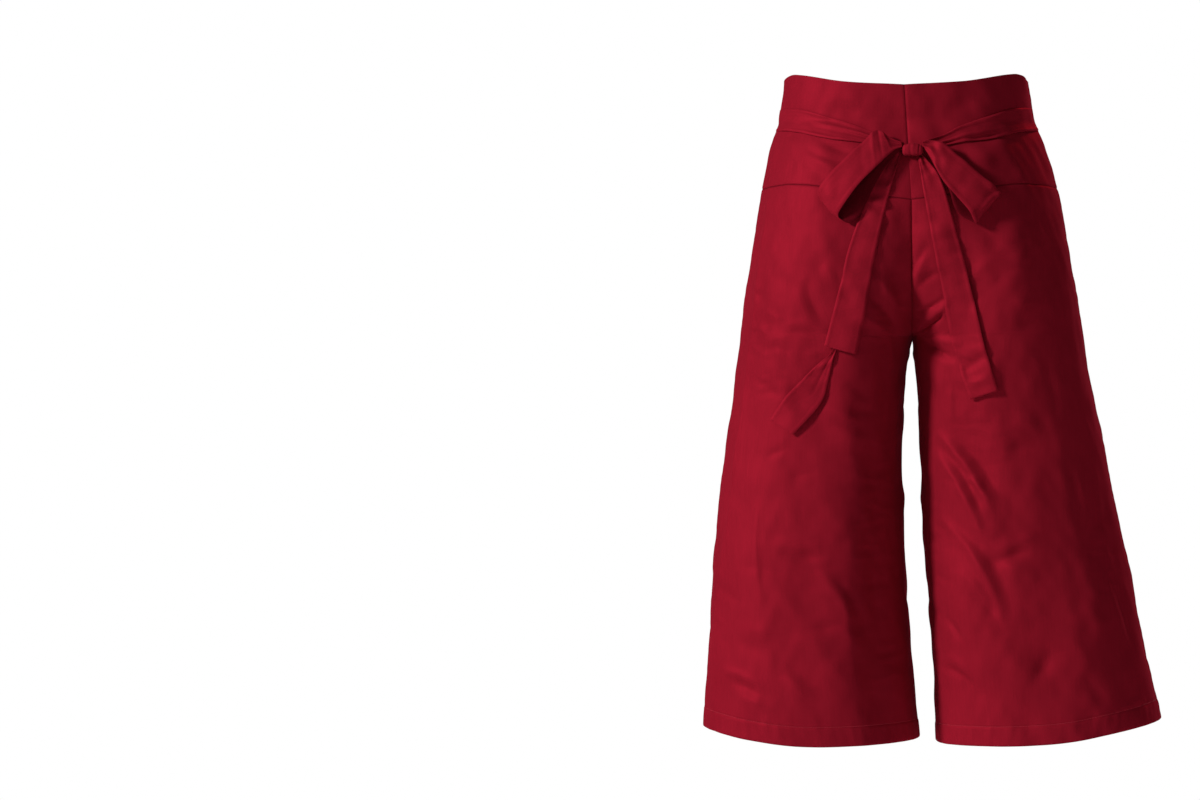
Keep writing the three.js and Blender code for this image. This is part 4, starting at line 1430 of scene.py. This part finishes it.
def dye_and_painted_shade_group():
    """Dye that is a little cloudy and streaked by its threads, with painted shade: darker in the
    valleys of the seams, and darker by the Shade value, which paints the shadow inside the bow's
    loops.
    """
    inputs = (
        ("Colour", "Color", None),
        ("Vector", "Vector", None),
        ("Streaks", "Float", 0.5),
        ("Seam", "Float", 1.0),
        ("Shade", "Float", 1.0),
    )
    tree, given, give = group("Dye", inputs, (("Colour", "Color"), ("Roughness", "Float")))
    make = node_maker(tree)
    cloudy = noise(make, given["Vector"], 9.0, 3.0, 0.55)
    cloud = remap(make, cloudy, (0.25, 0.75), (0.93, 1.07))
    thread = remap(make, given["Streaks"], (0.3, 0.7), (0.94, 1.06))
    # Painted shade: the colour falls to 0.55 within 1.6 mm of a seam, for the shade in the seam's
    # valley.
    seam = remap(make, given["Seam"], (0.0, 0.0016), (0.55, 1.0), interpolation_type="SMOOTHSTEP")
    value = reckon(make, "MULTIPLY", cloud, thread)
    # Shade is a painted shadow, below 1 only inside the bow's loops.
    for factor in (given["Shade"], seam):
        value = reckon(make, "MULTIPLY", value, factor)
    # The colour that comes out carries the painted shade of the seams and of the loops' insides.
    dyed = make("ShaderNodeVectorMath", {0: given["Colour"], "Scale": value}, operation="SCALE")
    give("Colour", dyed.outputs[0])
    give("Roughness", remap(make, cloudy, (0.3, 0.7), (-0.035, 0.035)))
    return tree


def shared_group(name, build):
    return bpy.data.node_groups.get(name) or build()


def new_material(name):
    """An empty material and the function that adds its nodes."""
    material = bpy.data.materials.new(name)
    material.use_nodes = True
    material.node_tree.nodes.clear()
    return material, node_maker(material.node_tree)


def satin_material(name, colour, crumple_scale, crumple_height):
    """Cotton satin: dyed threads with painted shade in the seams and inside the loops, fine weave,
    small crumples and a soft sheen.
    """
    known = bpy.data.materials.get(name)
    if known:
        return known
    cloth = bpy.context.scene.pants.cloth
    material, make = new_material(name)
    place = make("ShaderNodeTexCoord").outputs["Object"]
    # The seam distance feeds the crumples and a painted shade in the seams. The shade attribute is
    # a painted shadow inside the loops.
    seam = make("ShaderNodeAttribute", attribute_name="seam").outputs["Fac"]
    shade = make("ShaderNodeAttribute", attribute_name="shade").outputs["Fac"]
    weave = make("ShaderNodeGroup", node_tree=shared_group("Satin Weave", satin_weave_group))
    crumples = make("ShaderNodeGroup", node_tree=shared_group("Crumples", crumple_group))
    # The group named Dye also paints shade in the seams and inside the loops.
    dye_and_painted_shade = make("ShaderNodeGroup", node_tree=shared_group("Dye", dye_and_painted_shade_group))
    given = (
        (weave, "UV", make("ShaderNodeUVMap", uv_map="cloth").outputs[0]),
        (crumples, "Vector", place),
        (crumples, "Seam", seam),
        (dye_and_painted_shade, "Vector", place),
        (dye_and_painted_shade, "Streaks", weave.outputs["Streaks"]),
        (dye_and_painted_shade, "Seam", seam),
        (dye_and_painted_shade, "Shade", shade),
    )
    for node, label, socket in given:
        material.node_tree.links.new(socket, node.inputs[label])
    weave.inputs["Thread Pitch"].default_value = THREAD_PITCH
    weave.inputs["Slub"].default_value = 0.35
    crumples.inputs["Scale"].default_value = crumple_scale
    dye_and_painted_shade.inputs["Colour"].default_value = (*colour, 1.0)
    crumpled = make(
        "ShaderNodeBump",
        {"Height": crumples.outputs["Height"], "Strength": 1.0, "Distance": crumple_height},
    )
    woven = make(
        "ShaderNodeBump",
        {
            "Height": weave.outputs["Height"],
            "Normal": crumpled.outputs[0],
            "Strength": 0.5,
            "Distance": 0.00004,
        },
    )
    rough = make(
        "ShaderNodeMath",
        {0: dye_and_painted_shade.outputs["Roughness"], 1: cloth.roughness},
        operation="ADD",
        use_clamp=True,
    )
    shader = make(
        "ShaderNodeBsdfPrincipled",
        {
            "Base Color": dye_and_painted_shade.outputs["Colour"],
            "Roughness": rough.outputs[0],
            "Normal": woven.outputs[0],
            "Metallic": 0.2,
            "Specular IOR Level": 0.0,
            "Specular Tint": RED_GLOSS,
            "Sheen Weight": cloth.sheen,
            "Sheen Roughness": 0.35,
            "Sheen Tint": RED_GLOSS,
        },
    )
    make("ShaderNodeOutputMaterial", {"Surface": shader.outputs[0]})
    return material


def cloth_material():
    colour = tuple(bpy.context.scene.pants.cloth.colour)
    return satin_material("Crimson Satin", colour, 34.0, 0.00045)


def tie_material():
    """The same satin, a touch lighter as painted light on the flat ties, and with finer crumples.
    """
    colour = tuple(c * 1.05 for c in bpy.context.scene.pants.cloth.colour)
    return satin_material("Crimson Satin Tie", colour, 70.0, 0.0005)


def thread_material():
    """Sewing thread with a fine twist."""
    name = "Crimson Thread"
    known = bpy.data.materials.get(name)
    if known:
        return known
    light = tuple(bpy.context.scene.pants.stitch.colour)
    dark = tuple(c * 0.72 for c in light)
    material, make = new_material(name)
    place = make("ShaderNodeTexCoord").outputs["Object"]
    fibres = noise(make, place, 700.0, 2.0, 0.5)
    tone = make("ShaderNodeMix", {0: fibres, 6: (*dark, 1.0), 7: (*light, 1.0)}, data_type="RGBA")
    twist = make("ShaderNodeBump", {"Height": fibres, "Strength": 0.5, "Distance": 0.0001})
    shader = make(
        "ShaderNodeBsdfPrincipled",
        {
            "Base Color": tone.outputs[2],
            "Roughness": 0.6,
            "Normal": twist.outputs[0],
            "Specular IOR Level": 0.1,
            "Sheen Weight": 0.2,
            "Sheen Tint": RED_GLOSS,
        },
    )
    make("ShaderNodeOutputMaterial", {"Surface": shader.outputs[0]})
    return material


# ---------------------------------------------------------------- stitches


def stitch_tree():
    """Geometry nodes: one thick short thread at each step of a path, made real."""
    known = bpy.data.node_groups.get("Stitches")
    if known:
        return known
    tree = bpy.data.node_groups.new("Stitches", "GeometryNodeTree")
    face = tree.interface
    face.new_socket("Path", in_out="INPUT", socket_type="NodeSocketGeometry")
    for label in ("Pitch", "Length", "Thickness"):
        face.new_socket(label, in_out="INPUT", socket_type="NodeSocketFloat")
    face.new_socket("Thread", in_out="INPUT", socket_type="NodeSocketMaterial")
    face.new_socket("Stitches", in_out="OUTPUT", socket_type="NodeSocketGeometry")
    make = node_maker(tree)
    given = tree.nodes.new("NodeGroupInput").outputs
    steps = {"Curve": given["Path"], "Length": given["Pitch"]}
    points = make("GeometryNodeCurveToPoints", steps, mode="LENGTH")
    bead = make("GeometryNodeMeshUVSphere", {"Segments": 6, "Rings": 4, "Radius": 0.5})
    thickness = given["Thickness"]
    size = make("ShaderNodeCombineXYZ", {0: thickness, 1: thickness, 2: given["Length"]})
    sprinkle = make(
        "GeometryNodeInstanceOnPoints",
        {
            "Points": points.outputs["Points"],
            "Instance": bead.outputs["Mesh"],
            "Rotation": points.outputs["Rotation"],
            "Scale": size.outputs[0],
        },
    )
    real = make("GeometryNodeRealizeInstances", {"Geometry": sprinkle.outputs[0]})
    smooth_it = make("GeometryNodeSetShadeSmooth", {"Geometry": real.outputs[0]})
    dyed = {"Geometry": smooth_it.outputs[0], "Material": given["Thread"]}
    painted = make("GeometryNodeSetMaterial", dyed)
    result = tree.nodes.new("NodeGroupOutput")
    tree.links.new(painted.outputs[0], result.inputs["Stitches"])
    return tree


def stitch_piece(name, path):
    """Stitches along a path of points in millimetres, as one plain mesh."""
    stitch = bpy.context.scene.pants.stitch
    curve = bpy.data.curves.new(name, "CURVE")
    curve.dimensions = "3D"
    line = curve.splines.new("POLY")
    line.points.add(len(path) - 1)
    line.points.foreach_set("co", np.column_stack([path * MM, np.ones(len(path))]).ravel())
    holder = bpy.data.objects.new(name + "_path", curve)
    bpy.context.scene.collection.objects.link(holder)
    tree = stitch_tree()
    modifier = holder.modifiers.new("Stitches", "NODES")
    modifier.node_group = tree
    values = {
        "Pitch": stitch.pitch,
        "Length": stitch.length,
        "Thickness": stitch.thickness,
        "Thread": thread_material(),
    }
    for item in tree.interface.items_tree:
        if item.in_out == "INPUT" and item.name in values:
            modifier[item.identifier] = values[item.name]
    graph = bpy.context.evaluated_depsgraph_get()
    mesh = bpy.data.meshes.new_from_object(holder.evaluated_get(graph), depsgraph=graph)
    bpy.data.objects.remove(holder)
    mesh.name = name
    if not len(mesh.polygons):
        raise RuntimeError(f"{name}: no stitches were made")
    piece = bpy.data.objects.new(name, mesh)
    bpy.context.scene.collection.objects.link(piece)
    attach(piece, BODY_NAME)
    return piece


def hem_path(side, above_edge, out):
    """A line once round one leg, a distance above its edge and out from the plain cloth."""
    path = []
    share = np.linspace(0, 1, 160)
    pieces = (
        (side_seam_back, inner_seam_back),
        (inner_seam_front, panel_seam),
        (panel_seam, side_seam_front),
    )
    for seams in pieces:
        edge = meet(side, seams, share, HEM_LINE[side], FULL_DROP - above_edge)
        drop = edge - above_edge
        angle = mix(seams[0](side, drop), seams[1](side, drop), share)
        point, normal = cloth_surface(side, angle, drop)
        path.append(point + normal * out)
    return np.concatenate(path)


# ---------------------------------------------------------------- stage

IMAGE_WIDTH_PX = 1200
METRES_PER_PIXEL = 0.00115
GARMENT_PX = 931  # column of the render in which the garment's middle stands
CAMERA_DISTANCE = 5.5
CAMERA_X = 0.030
CAMERA_HEIGHT = -0.3128
SENSOR_WIDTH = 36.0
FLOOR_RADIUS, FLOOR_CORNERS = 2.6, 96
LIGHT_AIM = (0.03, 0.0, -0.31)
# Place, width, setting that gives the power, and share of it.
LIGHTS = (
    ("Key Light", (-4.4, -2.5, 2.0), 0.75, "key", 1.0),
    ("Fill Light", (1.8, -4.6, 1.2), 2.2, "fill", 1.0),
    ("Far Light", (2.4, 4.1, 3.0), 0.9, "key", 0.6),
)


def add_floor(height):
    turns = [k / FLOOR_CORNERS * TURN for k in range(FLOOR_CORNERS)]
    ring = [(FLOOR_RADIUS * math.cos(t), FLOOR_RADIUS * math.sin(t), height) for t in turns]
    mesh = bpy.data.meshes.new("floor")
    mesh.from_pydata(ring, [], [tuple(range(FLOOR_CORNERS))])
    material = bpy.data.materials.new("Pale Floor")
    material.use_nodes = True
    shader = material.node_tree.nodes["Principled BSDF"]
    shader.inputs["Base Color"].default_value = (0.86, 0.86, 0.86, 1.0)
    shader.inputs["Roughness"].default_value = 0.9
    add_object("floor", mesh, material)


def add_world(ambient):
    """White behind everything, and a weaker light from all round."""
    world = bpy.data.worlds.new("Pale Studio")
    world.use_nodes = True
    world.node_tree.nodes.clear()
    make = node_maker(world.node_tree)
    path = make("ShaderNodeLightPath")
    seen = make("ShaderNodeBackground", {"Color": WHITE, "Strength": 1.0})
    felt = make("ShaderNodeBackground", {"Color": WHITE, "Strength": ambient})
    shares = {0: path.outputs["Is Camera Ray"], 1: felt.outputs[0], 2: seen.outputs[0]}
    both = make("ShaderNodeMixShader", shares)
    make("ShaderNodeOutputWorld", {"Surface": both.outputs[0]})
    bpy.context.scene.world = world


def add_light(name, place, size, power):
    """A square soft light that looks at the middle of the legs."""
    light = bpy.data.lights.new(name, "AREA")
    light.size = size
    light.energy = power
    lamp = bpy.data.objects.new(name, light)
    bpy.context.scene.collection.objects.link(lamp)
    lamp.location = place
    aim = Vector(LIGHT_AIM) - Vector(place)
    lamp.rotation_mode = "QUATERNION"
    lamp.rotation_quaternion = aim.to_track_quat("-Z", "Y")


def add_camera():
    """A level camera behind the garment, turned so that it stands right of the render's middle."""
    data = bpy.data.cameras.new("Camera")
    aside = (GARMENT_PX - IMAGE_WIDTH_PX / 2) * METRES_PER_PIXEL
    turn = math.atan(aside / CAMERA_DISTANCE)
    width = IMAGE_WIDTH_PX * METRES_PER_PIXEL
    data.sensor_width = SENSOR_WIDTH
    data.lens = SENSOR_WIDTH * CAMERA_DISTANCE / math.cos(turn) / width
    camera = bpy.data.objects.new("Camera", data)
    bpy.context.scene.collection.objects.link(camera)
    camera.location = (CAMERA_X, -CAMERA_DISTANCE, CAMERA_HEIGHT)
    camera.rotation_euler = (math.pi / 2, 0, turn)
    bpy.context.scene.camera = camera


# ---------------------------------------------------------------- operators


BACK_SEAMS = (inner_seam_back, side_seam_back)
FRONT_SEAMS = (inner_seam_front, side_seam_front)
# Name, face, seams, columns, their length, and whether the panel reaches the centre seam.
LEG_PANELS = (
    ("leg_back", "back", BACK_SEAMS, 146, 300, True),
    ("leg_front_inner", "front", (inner_seam_front, panel_seam), 60, 130, True),
    ("leg_front_outer", "front", (panel_seam, side_seam_front), 84, 170, False),
)
LOOP_LEFT_PLEATS = (
    (0.155, 0.012, 0.03, 1.5),
    (0.185, 0.01, 0.05, -1.2),
    (0.125, 0.012, -0.02, -0.9),
    (0.24, 0.02, 0.06, 0.8),
)


class BuildOperator:
    """Common part of all operators."""

    bl_options = {"REGISTER", "UNDO"}


class PANTS_OT_yokes(BuildOperator, bpy.types.Operator):
    """Builds the four yoke pieces between the waist edge and the yoke seam."""

    bl_idname = "pants.yokes"
    bl_label = "Yokes"

    def execute(self, context):
        for side in (LEFT, RIGHT):
            for face, seams in (("back", BACK_SEAMS), ("front", FRONT_SEAMS)):
                name = f"yoke_{face}_{SIDE_NAMES[side]}"
                mesh = yoke_mesh(name + "_cloth", side, face, seams)
                piece = add_object(name + "_cloth", mesh, cloth_material())
                seat_piece(piece, [name])
        return {"FINISHED"}


class PANTS_OT_leg_panels(BuildOperator, bpy.types.Operator):
    """Builds the back panel and the two front panels of each leg, with the turned hem."""

    bl_idname = "pants.leg_panels"
    bl_label = "Leg Panels"

    def execute(self, context):
        for side in (LEFT, RIGHT):
            for label, *cut in LEG_PANELS:
                name = f"{label}_{SIDE_NAMES[side]}"
                mesh = leg_mesh(name + "_cloth", side, *cut)
                piece = add_object(name + "_cloth", mesh, cloth_material())
                seat_piece(piece, [name])
        return {"FINISHED"}


class PANTS_OT_tie_bands(BuildOperator, bpy.types.Operator):
    """Builds the two stretches of tie that lie round the back of the waist."""

    bl_idname = "pants.tie_bands"
    bl_label = "Tie Bands"

    def execute(self, context):
        for side in (LEFT, RIGHT):
            name = f"tie_band_{SIDE_NAMES[side]}"
            piece = add_object(name + "_cloth", band_mesh(name + "_cloth", side), tie_material())
            seat_piece(piece, [name])
        return {"FINISHED"}


class PANTS_OT_bow_loops(BuildOperator, bpy.types.Operator):
    """Builds the two loops of the bow."""

    bl_idname = "pants.bow_loops"
    bl_label = "Bow Loops"

    def execute(self, context):
        loops = (
            ("loop_left", LOOP_LEFT, 3, LOOP_LEFT_PLEATS),
            ("loop_right", LOOP_RIGHT, 8, ()),
        )
        for name, rows, seed, pleats in loops:
            mesh = loop_mesh(name + "_cloth", rows, seed, pleats)
            piece = add_object(name + "_cloth", mesh, tie_material())
            seat_piece(piece, [name])
        return {"FINISHED"}


class PANTS_OT_tie_ends(BuildOperator, bpy.types.Operator):
    """Builds the hanging ends of the tie."""

    bl_idname = "pants.tie_ends"
    bl_label = "Tie Ends"

    def execute(self, context):
        ends = (
            ("tail_left", tail_mesh, TAIL_LEFT, 5),
            ("tail_left_end", tail_end_mesh, TAIL_LEFT_END, 6),
            ("tail_right", tail_mesh, TAIL_RIGHT, 7),
        )
        for name, build, rows, seed in ends:
            mesh = build(name + "_cloth", rows, seed)
            piece = add_object(name + "_cloth", mesh, tie_material())
            seat_piece(piece, [name])
        return {"FINISHED"}


class PANTS_OT_knot(BuildOperator, bpy.types.Operator):
    """Builds the knot in the middle of the bow."""

    bl_idname = "pants.knot"
    bl_label = "Knot"

    def execute(self, context):
        piece = add_object("knot_cloth", knot_mesh("knot_cloth"), tie_material())
        seat_piece(piece, ["knot"])
        return {"FINISHED"}


class PANTS_OT_stitches(BuildOperator, bpy.types.Operator):
    """Sews a row of lockstitch round each hem."""

    bl_idname = "pants.stitches"
    bl_label = "Stitches"

    def execute(self, context):
        depth = context.scene.pants.cloth.hem_depth / MM
        for side in (LEFT, RIGHT):
            path = hem_path(side, depth, -0.2)
            stitch_piece(f"hem_stitches_{SIDE_NAMES[side]}", path)
        return {"FINISHED"}


class PANTS_OT_stage(BuildOperator, bpy.types.Operator):
    """Sets the pale floor, the soft lights and the camera."""

    bl_idname = "pants.stage"
    bl_label = "Stage"

    def execute(self, context):
        stage = context.scene.pants.stage
        add_floor(stage.floor_height)
        add_world(stage.ambient)
        for name, place, size, setting, share in LIGHTS:
            add_light(name, place, size, getattr(stage, setting) * share)
        add_camera()
        context.scene.view_settings.view_transform = "Standard"
        return {"FINISHED"}


# ---------------------------------------------------------------- panel and registration


class PANTS_PT_panel(bpy.types.Panel):
    """Sidebar panel with the settings and a button for each group of pieces."""

    bl_idname = "PANTS_PT_panel"
    bl_label = "Fisherman Pants"
    bl_space_type = "VIEW_3D"
    bl_region_type = "UI"
    bl_category = "Pants"

    def draw(self, context):
        settings = context.scene.pants
        for part in ("cloth", "tie", "stitch", "stage"):
            box = self.layout.box()
            box.label(text=part.title())
            group_settings = getattr(settings, part)
            for name in group_settings.bl_rna.properties.keys():
                if name not in ("rna_type", "name"):
                    box.prop(group_settings, name)
        for operator in OPERATORS:
            self.layout.operator(operator.bl_idname)


OPERATORS = (
    PANTS_OT_stage,
    PANTS_OT_yokes,
    PANTS_OT_leg_panels,
    PANTS_OT_knot,
    PANTS_OT_tie_bands,
    PANTS_OT_bow_loops,
    PANTS_OT_tie_ends,
    PANTS_OT_stitches,
)
CLASSES = (
    PANTS_PG_cloth,
    PANTS_PG_tie,
    PANTS_PG_stitch,
    PANTS_PG_stage,
    PANTS_PG_settings,
    *OPERATORS,
    PANTS_PT_panel,
)


def register():
    for item in CLASSES:
        bpy.utils.register_class(item)
    bpy.types.Scene.pants = bpy.props.PointerProperty(type=PANTS_PG_settings)


def unregister():
    del bpy.types.Scene.pants
    for item in reversed(CLASSES):
        bpy.utils.unregister_class(item)


def main():
    register()
    bpy.ops.pants.stage()
    bpy.ops.pants.yokes()
    bpy.ops.pants.leg_panels()
    bpy.ops.pants.knot()
    bpy.ops.pants.tie_bands()
    bpy.ops.pants.bow_loops()
    bpy.ops.pants.tie_ends()
    bpy.ops.pants.stitches()


if __name__ == "__main__":
    main()
